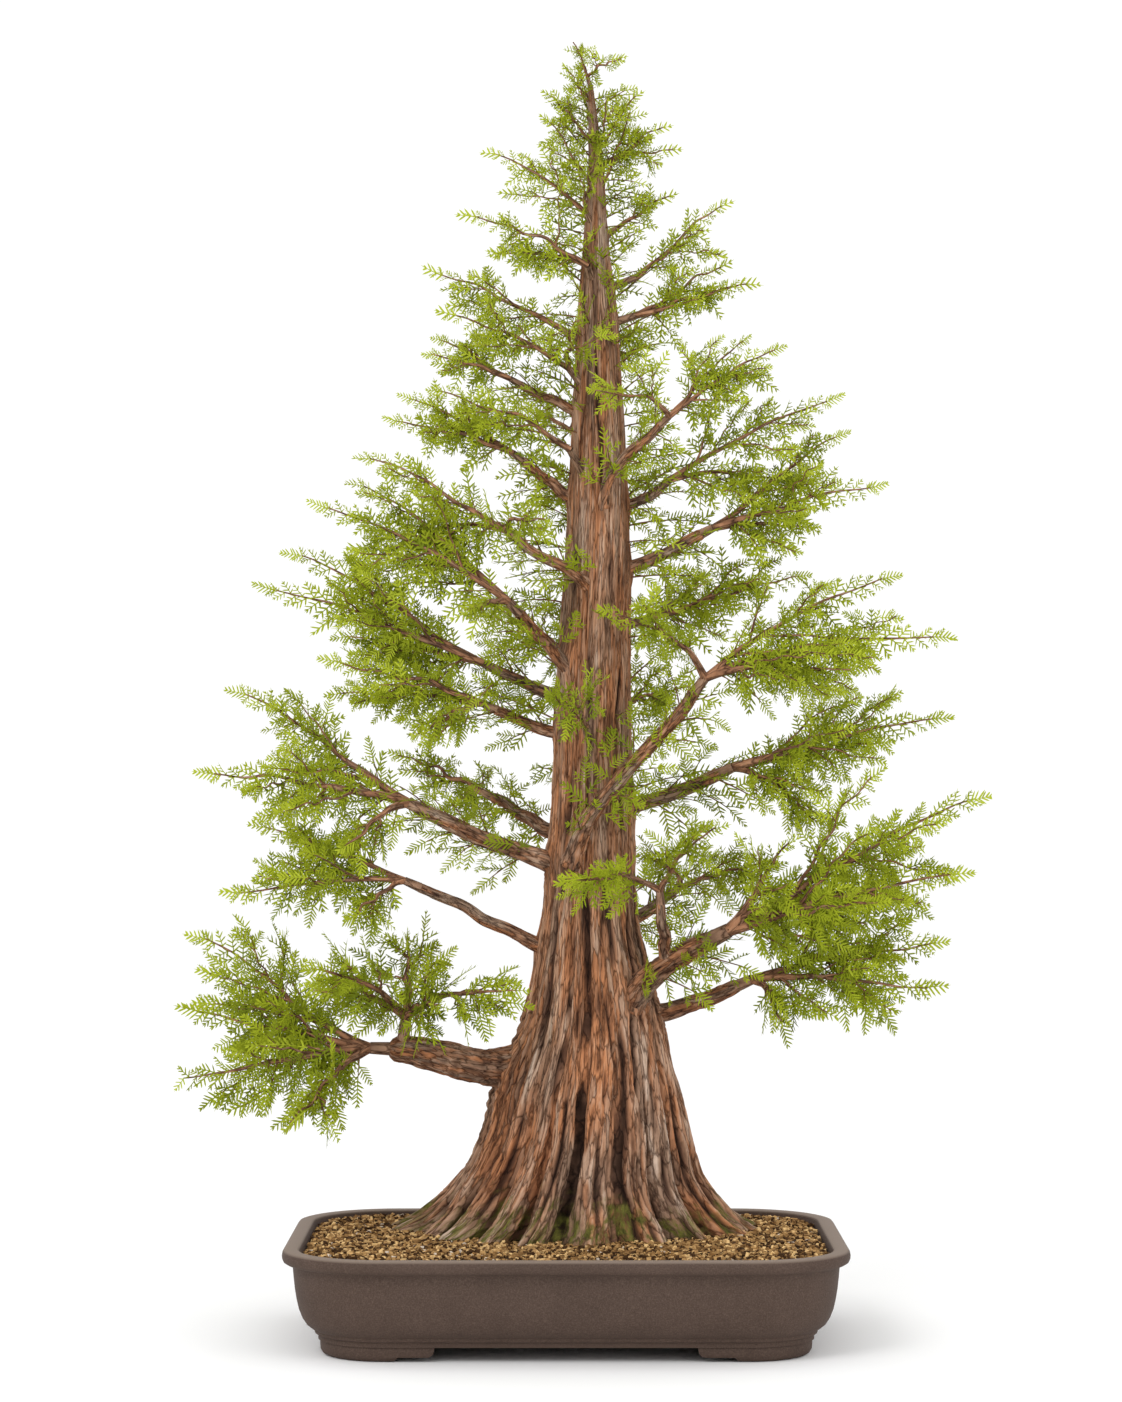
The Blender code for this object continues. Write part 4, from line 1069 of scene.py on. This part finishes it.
def makeSpray(look, rng):
    # a flat spray: needles in pairs along the midrib and one at its end
    droop, sway = rng.uniform(0.02, 0.22), rng.uniform(-0.12, 0.12)

    def rib(t):
        x = t * look["spray"]
        return np.array((x, sway * x * t, -droop * x * t))

    points, faces = midrib(rib)
    fold = rng.uniform(-0.05, 0.40)
    rootLean, lessLean = needle["lean"]
    for pair in range(look["pairs"]):
        t = 0.10 + 0.86 * pair / (look["pairs"] - 1)
        envelope = 0.74 + 0.30 * math.sin(math.pi * min(1, 0.15 + 0.80 * t)) - 0.36 * t ** 3
        for side in (1, -1):
            reach = look["needle"] * envelope * rng.uniform(0.84, 1.10)
            lean = math.radians(rootLean - lessLean * t + rng.uniform(-7, 7))
            lift = fold + rng.uniform(-0.45, 0.45)
            c, s = math.cos(lean), math.sin(lean)
            way = np.array((c, side * s * math.cos(lift), s * math.sin(lift)))
            flatSide = unit(np.array((-side * s, c, rng.uniform(-0.3, 0.3) * side)))
            half = look["width"] / 2 * rng.uniform(0.88, 1.12)
            root = rib(min(1, t + rng.uniform(-0.014, 0.014)))
            addNeedle(points, faces, root, way, flatSide, reach, half)
    start = len(points)
    end, half = rib(1.0), np.array((0, look["width"] / 2 * 0.7, 0))
    points += [end - half, end + half, end + (end - rib(0.9)) / 0.1 * 3.6 * mm / look["spray"]]
    faces.append((start, start + 1, start + 2))
    return points, faces


def sprayPatterns(kind):
    # the patterns of one kind differ in their points and have the same faces
    look = needle[kind]
    rng = np.random.default_rng(look["pairs"])
    sprays = [makeSpray(look, rng) for _ in range(look["patterns"])]
    return np.array([points for points, _ in sprays]), np.array(sprays[0][1])


def stemStart(mass, bough):
    if "leaves" in mass:
        way = headingVector(mass["heading"], mass["rise"])
        return trunkSide(mass["leaves"], mass["heading"]) - way * 5 * mm, way
    if bough == "trunk":
        return trunkAxis(trunk["height"]) - Vector((0, 0, mm)), Vector((-0.3, 0, 1)).normalized()
    route = boughRoute(bough, 5)
    onward = (route[-1] - route[-2]).normalized()
    return route[-1], Vector(mass.get("turn", onward)).normalized()


def leaderRoute(fork, way, tip, count):
    away = (tip - fork).normalized()
    start = (way + away * 1.6).normalized()
    level = Vector((away.x, away.y, away.z * 0.45)).normalized()
    return curveBetween(fork, start, tip, level, count)


def spreadAt(length, share, fullness):
    # half the width and half the depth of a mass at one share of its leader
    outline = math.sin(math.pi * (0.12 + 0.83 * share) ** 0.85) ** 0.6
    return [min(max(look["share"] * length, look["least"]), look["most"]) * fullness * outline
            for look in (growth["massWidth"], growth["massDepth"])]


def sprayLengthAt(z):
    # sprays are shorter towards the top of the tree
    low, top = growth["sprayLength"]
    share = min(max((z - groundLevel) / trunk["height"], 0), 1)
    return low + (top - low) * share ** 0.6


def closerAt(fullSize):
    # small sprays sit closer together
    return 0.55 + 0.45 * fullSize / growth["sprayLength"][0]


def roomFor(place):
    # inside the model's box, and outside the trunk and the pot
    if (place < lowCorner).any() or (place > highCorner).any():
        return False
    h = place[2] - groundLevel
    if h < growth["groundGap"]:
        return False
    if h < trunk["height"]:
        gapX = place[0] - treeShift.x - float(betweenStations(h, 2))
        gapY = place[1] - treeShift.y - trunk["y"]
        return math.hypot(gapX, gapY) >= float(betweenStations(h, 1)) + growth["trunkGap"]
    return True


class Growth:
    # what one group of masses has grown: sprays of needles and woody twigs
    def __init__(self):
        self.sprays = {"long": [], "short": []}
        self.twigPoints, self.twigFaces, self.twigBark, self.twigGrain = [], [], [], []
        self.twigCount = 0

    def addTwig(self, places, radii, sides, redness):
        across, upward = framesAlong(places)
        turn = 2 * math.pi * np.arange(sides) / sides
        ring = np.cos(turn)[None, :, None] * across[:, None] + np.sin(turn)[None, :, None] * upward[:, None]
        grid = places[:, None, :] + ring * np.asarray(radii)[:, None, None]
        self.twigPoints.append(grid.reshape(-1, 3))
        self.twigFaces.append(ringFaces(len(places), sides, self.twigCount))
        self.twigCount += grid.shape[0] * sides
        length = lengthsAlong(places)[:, None] + np.zeros(sides)
        mottle = smoothNoise(turn[None] / 6.3, length / (6 * mm) + self.twigCount, 7, 5)
        shade = np.clip(0.50 + 0.5 * (mottle - 0.5), 0, 1)
        grey = np.full(shade.shape, 1 - redness)
        self.twigBark.append(np.stack((shade, grey, 0 * grey), axis=-1).reshape(-1, 3))
        grain = np.concatenate((ring[..., :2] * 4 * mm, length[..., None] / growth["grainStretch"]), axis=-1)
        self.twigGrain.append(grain.reshape(-1, 3))

    def addSpray(self, rng, root, way, normal, length, light):
        # light runs from 0 for the inner shade to about 1.4 for the outer tips
        if not roomFor(root + way * length):
            return
        normal = normal + np.array([rng.gauss(0, 0.25) for _ in range(3)])
        side = unit(np.cross(normal, way))
        axes = np.stack((way, side, np.cross(way, side)), axis=0)
        kind = "short" if length < needle["shortUnder"] else "long"
        look = growth["light"]
        # painted light: sprays higher up take paler tints
        light += look["height"] * (root[2] - groundLevel) / trunk["height"] + look["foot"]
        step = (light + rng.gauss(0, look["play"])) * look["tints"] + look["first"]
        last = len(needleTints) - 1
        tint = last - int(min(max(step, 0), last + 0.99))
        pattern = rng.randrange(needle[kind]["patterns"])
        self.sprays[kind].append((root, axes, length / needle[kind]["spray"], pattern, tint))


def growTwig(rng, grown, root, way, normal, length, outer):
    # a side twig with sprays on both sides in its own plane, and one at the tip
    steps = growth["twigSteps"]
    side = unit(np.cross(normal, way))
    places = [root]
    heading = way
    sway = rng.uniform(-0.06, 0.06)
    woody = growth["twigWood"] * length
    for _ in range(steps):
        heading = unit(heading - up * growth["droop"] / steps + side * sway)
        places.append(places[-1] + heading * woody / steps)
    places = np.array(places)
    if not roomFor(places[-1]):
        return
    thick, thin = growth["twigRadius"]
    radii = np.linspace(thick, thin, steps + 1) * min(1.2, 0.55 + length / (90 * mm))
    grown.addTwig(places, radii, 3, 0.9)
    spread = math.radians(growth["spraySpread"])
    outer += rng.gauss(0, growth["twigTints"])
    fullSize = sprayLengthAt(root[2])
    count = max(3, round(woody / (growth["twigSprays"] * closerAt(fullSize))))
    light = growth["light"]
    for i in range(count + 1):
        share = min((i + rng.uniform(0.3, 0.7)) / count, 1)
        place, tangent = pointAlong(places, share)
        across = unit(np.cross(normal, tangent)) * (1 if i % 2 else -1)
        turn = 0 if i == count else spread * rng.uniform(0.8, 1.15)
        heading = unit(turnedBy(turn, tangent, across) - up * rng.uniform(-0.05, 0.28))
        reach = fullSize * (0.60 + 0.40 * math.sin(math.pi * min(1, 0.25 + 0.5 * share)))
        reach = min(reach, 0.56 * (1 - share) * woody + 0.45 * fullSize) * rng.uniform(0.80, 1.12)
        if i == count:
            reach = 0.8 * fullSize
        grown.addSpray(rng, place, heading, normal, reach, light["twig"] * outer + light["tip"] * share)


class Leader:
    # the line of a leader from its fork to its tip, with what its foliage depends on
    def __init__(self, rng, fork, way, tip, fullness):
        count = growth["leaderPoints"]
        places, _ = resample(leaderRoute(fork, way, tip, count), count)
        share = np.linspace(0, 1, count)
        bend = np.array([[rng.gauss(0, 1) for _ in range(3)] for _ in range(3)])
        wander = np.sin(np.outer(share * math.pi, (2, 4, 7))) @ bend
        self.places = places + wander * growth["leaderWander"] * np.sin(share * math.pi)[:, None] * 0.7
        self.length = (tip - fork).length
        self.fullness = fullness
        self.high = (tip.z - groundLevel) / trunk["height"]
        self.towards = max(0, (fork - tip).y / self.length)  # how far it points to the front
        self.fullSize = sprayLengthAt(tip.z)
        self.closer = closerAt(self.fullSize)

    def branchAt(self, t, roll):
        # place, direction and a crossing direction at one share of the leader
        place, tangent = pointAlong(self.places, t)
        across = unit(np.cross(tangent, up))
        return place, tangent, turnedBy(roll, across, np.cross(across, tangent))


def growForks(rng, grown, leader, thick):
    # side leaders to the left and right by turns
    count = round(leader.length / growth["forkSpacing"])
    for i in range(count):
        t = growth["forksFrom"] + growth["forksSpan"] * (i + rng.uniform(0.2, 0.8)) / count
        roll = math.radians(180 * (i % 2) + rng.uniform(-growth["forkRoll"], growth["forkRoll"]))
        place, tangent, offset = leader.branchAt(t, roll)
        turn = math.radians(growth["forkAngle"] * rng.uniform(0.8, 1.2))
        heading = unit(turnedBy(turn, tangent, offset))
        reach = leader.length * (1 - t) * rng.uniform(*growth["forkReach"])
        end = Vector(place + heading * reach - up * growth["forkDroop"] * reach)
        growLeader(rng, grown, Vector(place), end, growth["forkFullness"] * leader.fullness,
                   Vector(heading), growth["forkThick"] * thick * (1 - t), forks=False)


def growSideTwigs(rng, grown, leader, share):
    # side twigs all round, as long as the mass is broad or deep there
    thin = 1 - growth["frontThin"] * leader.towards ** 2
    count = max(2, round(leader.length * thin / (growth["twigSpacing"] * leader.closer) * share))
    for i in range(count):
        t = growth["twigsFrom"]
        t += (growth["twigsEnd"] - growth["twigsFrom"]) * (i + rng.uniform(0.2, 0.8)) / count
        side = (-90, 90, 0, -90, 90, 180)[i % 6]
        roll = math.radians(side + rng.uniform(-growth["twigRoll"], growth["twigRoll"]))
        place, tangent, offset = leader.branchAt(t, roll)
        broad, deep = spreadAt(leader.length, t, leader.fullness)
        reach = 1 / math.hypot(math.cos(roll) / broad, math.sin(roll) / (deep * growth["flatness"]))
        reach = min(reach, growth["wedge"] * (1 - t) * leader.length + 0.2 * leader.fullSize)
        turn = math.radians(growth["twigSpread"] * rng.uniform(0.85, 1.15))
        heading = unit(turnedBy(turn, tangent, offset) + up * rng.uniform(-0.30, 0.02))
        plane = unit(np.cross(tangent, offset) + offset * rng.uniform(-0.6, 0.6) + up * rng.uniform(0, 0.3))
        shorter = (1 - 0.25 * leader.high) * (1.0 - 0.42 * max(0, offset[2]))
        length = reach / math.sin(turn) * shorter * rng.uniform(*growth["twigReach"])
        growTwig(rng, grown, place, heading, plane, max(length, 0.8 * leader.fullSize), t)


def growSprays(rng, grown, leader, light):
    # sprays straight from the leader, denser towards its tip, where the last one grows
    fullSize = leader.fullSize
    count = round(leader.length / (growth["leaderSprays"] * leader.closer))
    for i in range(count):
        t = 0.08 + 0.85 * (i + rng.uniform(0.3, 0.7)) / count
        place, tangent, offset = leader.branchAt(t, math.pi * (i % 2 + 0.5) + rng.uniform(-0.7, 0.7))
        turn = math.radians(60 - 20 * t + rng.uniform(-8, 8))
        heading = unit(turnedBy(turn, tangent, offset) - up * rng.uniform(-0.05, 0.35))
        reach = min(fullSize * rng.uniform(0.65, 0.95), 0.16 * (1 - t) * leader.length + 0.28 * fullSize)
        if rng.random() < 0.3 + 1.2 * t:
            grown.addSpray(rng, place, heading, np.cross(tangent, offset), reach, light + 0.95 * t)
    end = leader.places[-1]
    onward = unit(end - leader.places[-4])
    grown.addSpray(rng, end - onward * fullSize, onward, np.cross(onward, up), fullSize, 1.3)


def growLeader(rng, grown, fork, tip, fullness, way, thick, forks=True):
    leader = Leader(rng, fork, way, tip, fullness)
    woody = growth["leaderWood"]
    share = np.linspace(0, 1, growth["leaderPoints"])[:woody]
    radii = (thick * (1 - share) ** 1.45 + growth["leaderTip"] * share) * mm
    grown.addTwig(leader.places[:woody], radii, growth["leaderSides"], 0.70)
    light = growth["light"]["leader"] + rng.gauss(0, 0.6 * growth["twigTints"])
    if forks:
        growForks(rng, grown, leader, thick)
    growSideTwigs(rng, grown, leader, 1 if forks else growth["forkTwigs"])
    growSprays(rng, grown, leader, light)


def growShoots(grown, side):
    # short twigs straight from the trunk; side is 1 to the right and -1 to the left
    rng = random.Random("shoots")
    low, high = shoots["from"], shoots["to"]
    longest, shortest = shoots["length"]
    frontFrom, frontTo = shoots["frontHeadings"]
    count = round((high - low) / shoots["spacing"])
    for i in range(count):
        share = (i + rng.uniform(0.1, 0.9)) / count
        heading = (shoots["aroundStep"] * i + rng.uniform(-20, 20)) % 360
        length = (longest + (shortest - longest) * share) * rng.uniform(0.6, 1.1)
        rise = rng.uniform(5, 50)
        h = (low + (high - low) * share ** 0.6) / mm
        inFront = frontFrom < heading < frontTo
        if inFront:
            length = min(length, shoots["frontLength"])
        if side * math.cos(math.radians(heading)) < 0:
            continue
        if inFront and h * mm < shoots["bareFront"] and rng.random() < shoots["bareShare"]:
            continue
        way = np.array(headingVector(heading, rise))
        root = np.array(trunkSide(h, heading)) - way * 1.5 * mm
        plane = unit(np.cross(way, up) * rng.uniform(-1, 1) + up * rng.uniform(0.3, 1.0))
        growTwig(rng, grown, root, way, plane, length, 0.45)


def growBoughShoots(rng, grown, name):
    if name in shoots["bareBoughs"]:
        return
    low, high = shoots["boughLength"]
    places, along = resample(boughRoute(name, 20), 20)
    count = round(along[-1] / shoots["boughSpacing"])
    for i in range(count):
        share = shoots["boughBare"] + (1 - shoots["boughBare"]) * (i + rng.uniform(0.2, 0.8)) / count
        k = min(int(share * 19), 18)
        tangent = unit(places[k + 1] - places[k])
        across = unit(np.cross(tangent, up))
        roll = math.radians(shoots["aroundStep"]) * i + rng.uniform(-0.5, 0.5)
        offset = turnedBy(roll, across, np.cross(across, tangent))
        way = unit(tangent + offset * rng.uniform(0.7, 1.1))
        h = (places[k][2] - groundLevel) / trunk["height"]
        length = (low + (high - low) * min(1, 1.4 * h)) * rng.uniform(0.65, 1.15)
        plane = unit(np.cross(tangent, offset) + up * rng.uniform(-0.5, 1.0))
        growTwig(rng, grown, places[k], way, plane, length, 0.35)


def growMass(name, grown):
    mass = masses[name]
    bough = mass.get("bough", name)
    rng = random.Random("scene " + name)
    inside = 0
    if bough in boughs:
        growBoughShoots(rng, grown, bough)
        inside = float(boughRadius(bough, 1))
    start, way = stemStart(mass, bough)
    fork = start + way * (mass["stem"] * mm + inside)
    stem = np.array([tuple(start + (fork - start) * t) for t in (0, 0.35, 0.7, 1.0)])
    thick = mass["thick"]
    grown.addTwig(stem, np.linspace(thick * 1.15, thick * 0.95, 4) * mm, 10, 0.3)
    for x, y, h, fullness in mass["leaders"]:
        growLeader(rng, grown, fork, treePoint(x, y, h), fullness, way, thick * 0.86)


def makeSprays(group, members, grown, patterns, greens):
    # all sprays of a group in one piece, each a pattern in its own size, place and tint
    points, faces, slots, start = [], [], [], 0
    for kind, sprays in grown.sprays.items():
        roots, axes, sizes, chosen, tints = (np.array(column) for column in zip(*sprays))
        shapes, pattern = patterns[kind]
        placed = np.einsum("fvk,fkc->fvc", shapes[chosen] * sizes[:, None, None], axes) + roots[:, None]
        points.append(placed.reshape(-1, 3))
        firsts = start + np.arange(len(sprays)) * shapes.shape[1]
        faces.append((pattern[None] + firsts[:, None, None]).reshape(-1, 3))
        slots.append(np.repeat(tints, len(pattern)))
        start += len(points[-1])
    made = buildMesh("needles_" + group + "_sprays", np.clip(np.concatenate(points), lowCorner, highCorner),
                     faces, greens, np.concatenate(slots), smooth=False)
    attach(made, "root")
    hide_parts(*("needles_" + name for name in members if "needles_" + name in frame["nodes"]))
    return len(made.data.polygons)


def makeTwigs(group, grown, finish):
    twigs = buildMesh("twigs_" + group, np.clip(np.concatenate(grown.twigPoints), lowCorner, highCorner),
                      [np.concatenate(grown.twigFaces)], [finish])
    addPointData(twigs, "bark", np.concatenate(grown.twigBark))
    addPointData(twigs, "grain", np.concatenate(grown.twigGrain))
    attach(twigs, "root")
    return 2 * len(twigs.data.polygons)


def makeFoliage(twigFinish, greens):
    patterns = {kind: sprayPatterns(kind) for kind in ("long", "short")}
    totals = [0, 0]
    for group, members in pieceGroups.items():
        grown = Growth()
        for name in members:
            growMass(name, grown)
        if group in ("high_left", "high_right"):
            growShoots(grown, 1 if group == "high_right" else -1)
        needleCount = makeSprays(group, members, grown, patterns, greens)
        twigCount = makeTwigs(group, grown, twigFinish)
        totals[0] += needleCount
        totals[1] += twigCount
        print(group, "grown:", [len(sprays) for sprays in grown.sprays.values()], "sprays,",
              needleCount, "needle and", twigCount, "twig triangles")
    print("foliage grown:", totals)


# Soil

soil = {
    "edgeInset": 15.6 * mm,
    "flatInset": 44 * mm,
    "edgeHeight": 74.5 * mm,
    "wall": ((31, 23.3), (20.5, 40), (15.6, 72.5)),  # of the bed: inset and height in millimetres
    "topInsets": (16.5, 20, 26, 32, 38, 44, 54, 70),
    "bedDrop": 1.0 * mm,  # how far the bed lies under the soil's height
    "granules": 9500,
    "size": (1.5 * mm, 3.8 * mm),
    "length": 0.62,  # of a granule's size, as its width and its thickness
    "width": (0.26, 0.48),
    "thickness": (0.20, 0.42),
    "cornerPlay": (0.62, 1.18),
    "bend": 0.8,
    "pitch": 0.38,
    "rise": (-0.9 * mm, 1.0 * mm),
    "clearing": 118 * mm,  # half the width of the round under the roots that has no granules
    "clearingDepth": 0.66,  # of its width
}

granuleTints = {  # colour, and share of the granules
    "granules_tan": ((0.45, 0.265, 0.105), 0.28),
    "granules_brown": ((0.25, 0.135, 0.050), 0.27),
    "granules_dark": ((0.062, 0.030, 0.012), 0.28),
    "granules_straw": ((0.74, 0.49, 0.22), 0.16),
    "granules_stone": ((0.62, 0.52, 0.42), 0.01),
}


def soilHeight(x, y):
    # height of the soil's top by how far a place lies inside the rim
    reachX, reachY = potShape["halfX"] - potShape["corner"], potShape["halfY"] - potShape["corner"]
    gapX = np.maximum(np.abs(x - potMiddle.x) - reachX, 0)
    gapY = np.maximum(np.abs(y - potMiddle.y) - reachY, 0)
    inset = potShape["corner"] - np.hypot(gapX, gapY)
    t = np.clip((inset - soil["edgeInset"]) / (soil["flatInset"] - soil["edgeInset"]), 0, 1)
    rise = (groundLevel - soil["edgeHeight"]) * np.sin(t * math.pi / 2)
    return soil["edgeHeight"] + rise, inset


def makeBed(finish):
    # the dark bed between and under the granules, painted shade for the gaps between them
    rows = [roundedLoop(potShape, inset * mm, height * mm) for inset, height in soil["wall"]]
    for inset in soil["topInsets"]:
        row = roundedLoop(potShape, inset * mm, 0)
        for place in row:
            place.z = soilHeight(place.x, place.y)[0] - soil["bedDrop"]
        rows.append(row)
    bed = makeLoft("soil_bed", rows, finish)
    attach(bed, "root")
    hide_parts("soil")


def rotated(points, first, second, angle):
    # the points of each granule turned by its own angle, from the first axis to the second
    c, s = np.cos(angle)[:, None], np.sin(angle)[:, None]
    turned = points.copy()
    turned[..., first] = points[..., first] * c - points[..., second] * s
    turned[..., second] = points[..., first] * s + points[..., second] * c
    return turned


def makeGranules(finishes):
    # bent, uneven blocks of bark strewn over the bed
    low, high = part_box("soil")
    rng = np.random.default_rng(9)
    box = np.array([(x, y, z) for x in (-1, 1) for y in (-1, 1) for z in (-1, 1)], float)
    boxFaces = np.array([(0, 1, 3), (0, 3, 2), (4, 6, 7), (4, 7, 5), (0, 4, 5), (0, 5, 1),
                         (2, 3, 7), (2, 7, 6), (0, 2, 6), (0, 6, 4), (1, 5, 7), (1, 7, 3)])
    halfX, halfY = (high.x - low.x) / 2, (high.y - low.y) / 2
    tried = 3 * soil["granules"]  # some of them miss the soil
    x = potMiddle.x + rng.uniform(-halfX, halfX, tried)
    y = potMiddle.y + rng.uniform(-halfY, halfY, tried)
    z, inset = soilHeight(x, y)
    offX, offY = x - treeShift.x - 5 * mm, (y - treeShift.y - trunk["y"]) / soil["clearingDepth"]
    clear = np.hypot(offX, offY) > soil["clearing"]
    keep = np.flatnonzero((inset > soil["edgeInset"] + 1.6 * mm) & clear)[:soil["granules"]]
    x, y, z = x[keep], y[keep], z[keep]
    count = len(keep)
    half = rng.uniform(*soil["size"], (count, 1)) * np.stack(
        (np.full(count, soil["length"]), rng.uniform(*soil["width"], count),
         rng.uniform(*soil["thickness"], count)), axis=-1)
    corners = box[None] * half[:, None] * rng.uniform(*soil["cornerPlay"], (count, 8, 3))
    bend = rng.uniform(-soil["bend"], soil["bend"], (count, 1))
    corners[..., 1] += (corners[..., 0] / half[:, None, 0]) ** 2 * half[:, None, 1] * bend
    spin, pitch = rng.uniform(0, 2 * math.pi, count), rng.normal(0, soil["pitch"], count)
    turned = rotated(rotated(corners, 0, 2, pitch), 0, 1, spin)
    rise = rng.uniform(*soil["rise"], count)
    points = turned + np.stack((x, y, z + rise), axis=-1)[:, None]
    faces = boxFaces[None] + (np.arange(count) * 8)[:, None, None]
    tints = rng.choice(len(finishes), count, p=[share for _, share in granuleTints.values()])
    grains = buildMesh("soil_granules", points.reshape(-1, 3), [faces.reshape(-1, 3)], finishes,
                       np.repeat(tints, len(boxFaces)), smooth=False)
    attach(grains, "root")
    print("soil made,", count, "granules")


# Light, floor and camera

studio = {
    "worldStrength": 1.05,
    "lights": {  # place in metres, size of the disk and power
        "key": ((-1.6, -2.4, 2.6), 1.6, 34),
        "fill": ((2.2, -2.0, 1.4), 1.8, 10),
    },
    "aimHeight": 0.45,
    "floorColour": (0.965, 0.965, 0.965),
    "floorReach": 14.0,
}

lens = {
    "pixelSize": 0.8 * mm,  # of the photo, at the trunk
    "photoHeight": 1402,  # its long side, which is upright
    "distance": 3.0,
    "toLeft": 4 * mm,
    "height": 461.3 * mm,
    "raised": 51,  # pixels by which the camera looks up from level
    "sensor": 36,
}


def areaLight(name, place, target, size, power):
    light = bpy.data.lights.new(name, "AREA")
    light.shape = "DISK"
    light.size = size
    light.energy = power
    made = bpy.data.objects.new(name, light)
    made.location = place
    made.rotation_euler = (Vector(target) - Vector(place)).to_track_quat("-Z", "Y").to_euler()
    bpy.context.scene.collection.objects.link(made)


def makeStudio():
    scene = bpy.context.scene
    scene.view_settings.view_transform = "Standard"
    world = bpy.data.worlds.new("studio")
    world.use_nodes = True
    back = world.node_tree.nodes["Background"]
    back.inputs["Color"].default_value = (1, 1, 1, 1)
    back.inputs["Strength"].default_value = studio["worldStrength"]
    scene.world = world
    target = (potMiddle.x, potMiddle.y, studio["aimHeight"])
    for name, (place, size, power) in studio["lights"].items():
        areaLight(name, place, target, size, power)
    floorFinish = plainFinish("floor", studio["floorColour"], 0.9, 0.0)
    reach = studio["floorReach"]
    corners = [(-reach, -reach, 0), (reach, -reach, 0), (reach, reach, 0), (-reach, reach, 0)]
    floor = buildMesh("floor", corners, [[(0, 1, 2, 3)]], [floorFinish], smooth=False)


def makeCamera():
    distance, pixelSize = lens["distance"], lens["pixelSize"]
    camera = bpy.data.cameras.new("camera")
    camera.sensor_width = lens["sensor"]
    camera.lens = lens["sensor"] * distance / (lens["photoHeight"] * pixelSize)
    camera.clip_end = 60
    made = bpy.data.objects.new("camera", camera)
    made.location = (treeShift.x - lens["toLeft"], treeShift.y - distance, lens["height"])
    made.rotation_euler = (math.pi / 2 + math.atan(lens["raised"] * pixelSize / distance), 0, 0)
    bpy.context.scene.collection.objects.link(made)
    bpy.context.scene.camera = made


makeCamera()
makeStudio()
clay = clayFinish()
bark = barkFinish()
makePot(clay)
makeBed(plainFinish("soil_shade", (0.040, 0.021, 0.010), 0.95))
makeGranules([plainFinish(name, colour, 0.9, 0.08) for name, (colour, _) in granuleTints.items()])
collars = [(trunkSide(limb["leaves"], limb["heading"]), np.max(limb["thick"]) * mm)
           for limb in (*boughs.values(), *masses.values()) if "leaves" in limb]
makeTrunk(bark, collars)
makeBoughs(bark)
greens = [plainFinish(name, colour, 0.6, 0.04) for name, colour in needleTints.items()]
makeFoliage(bark, greens)
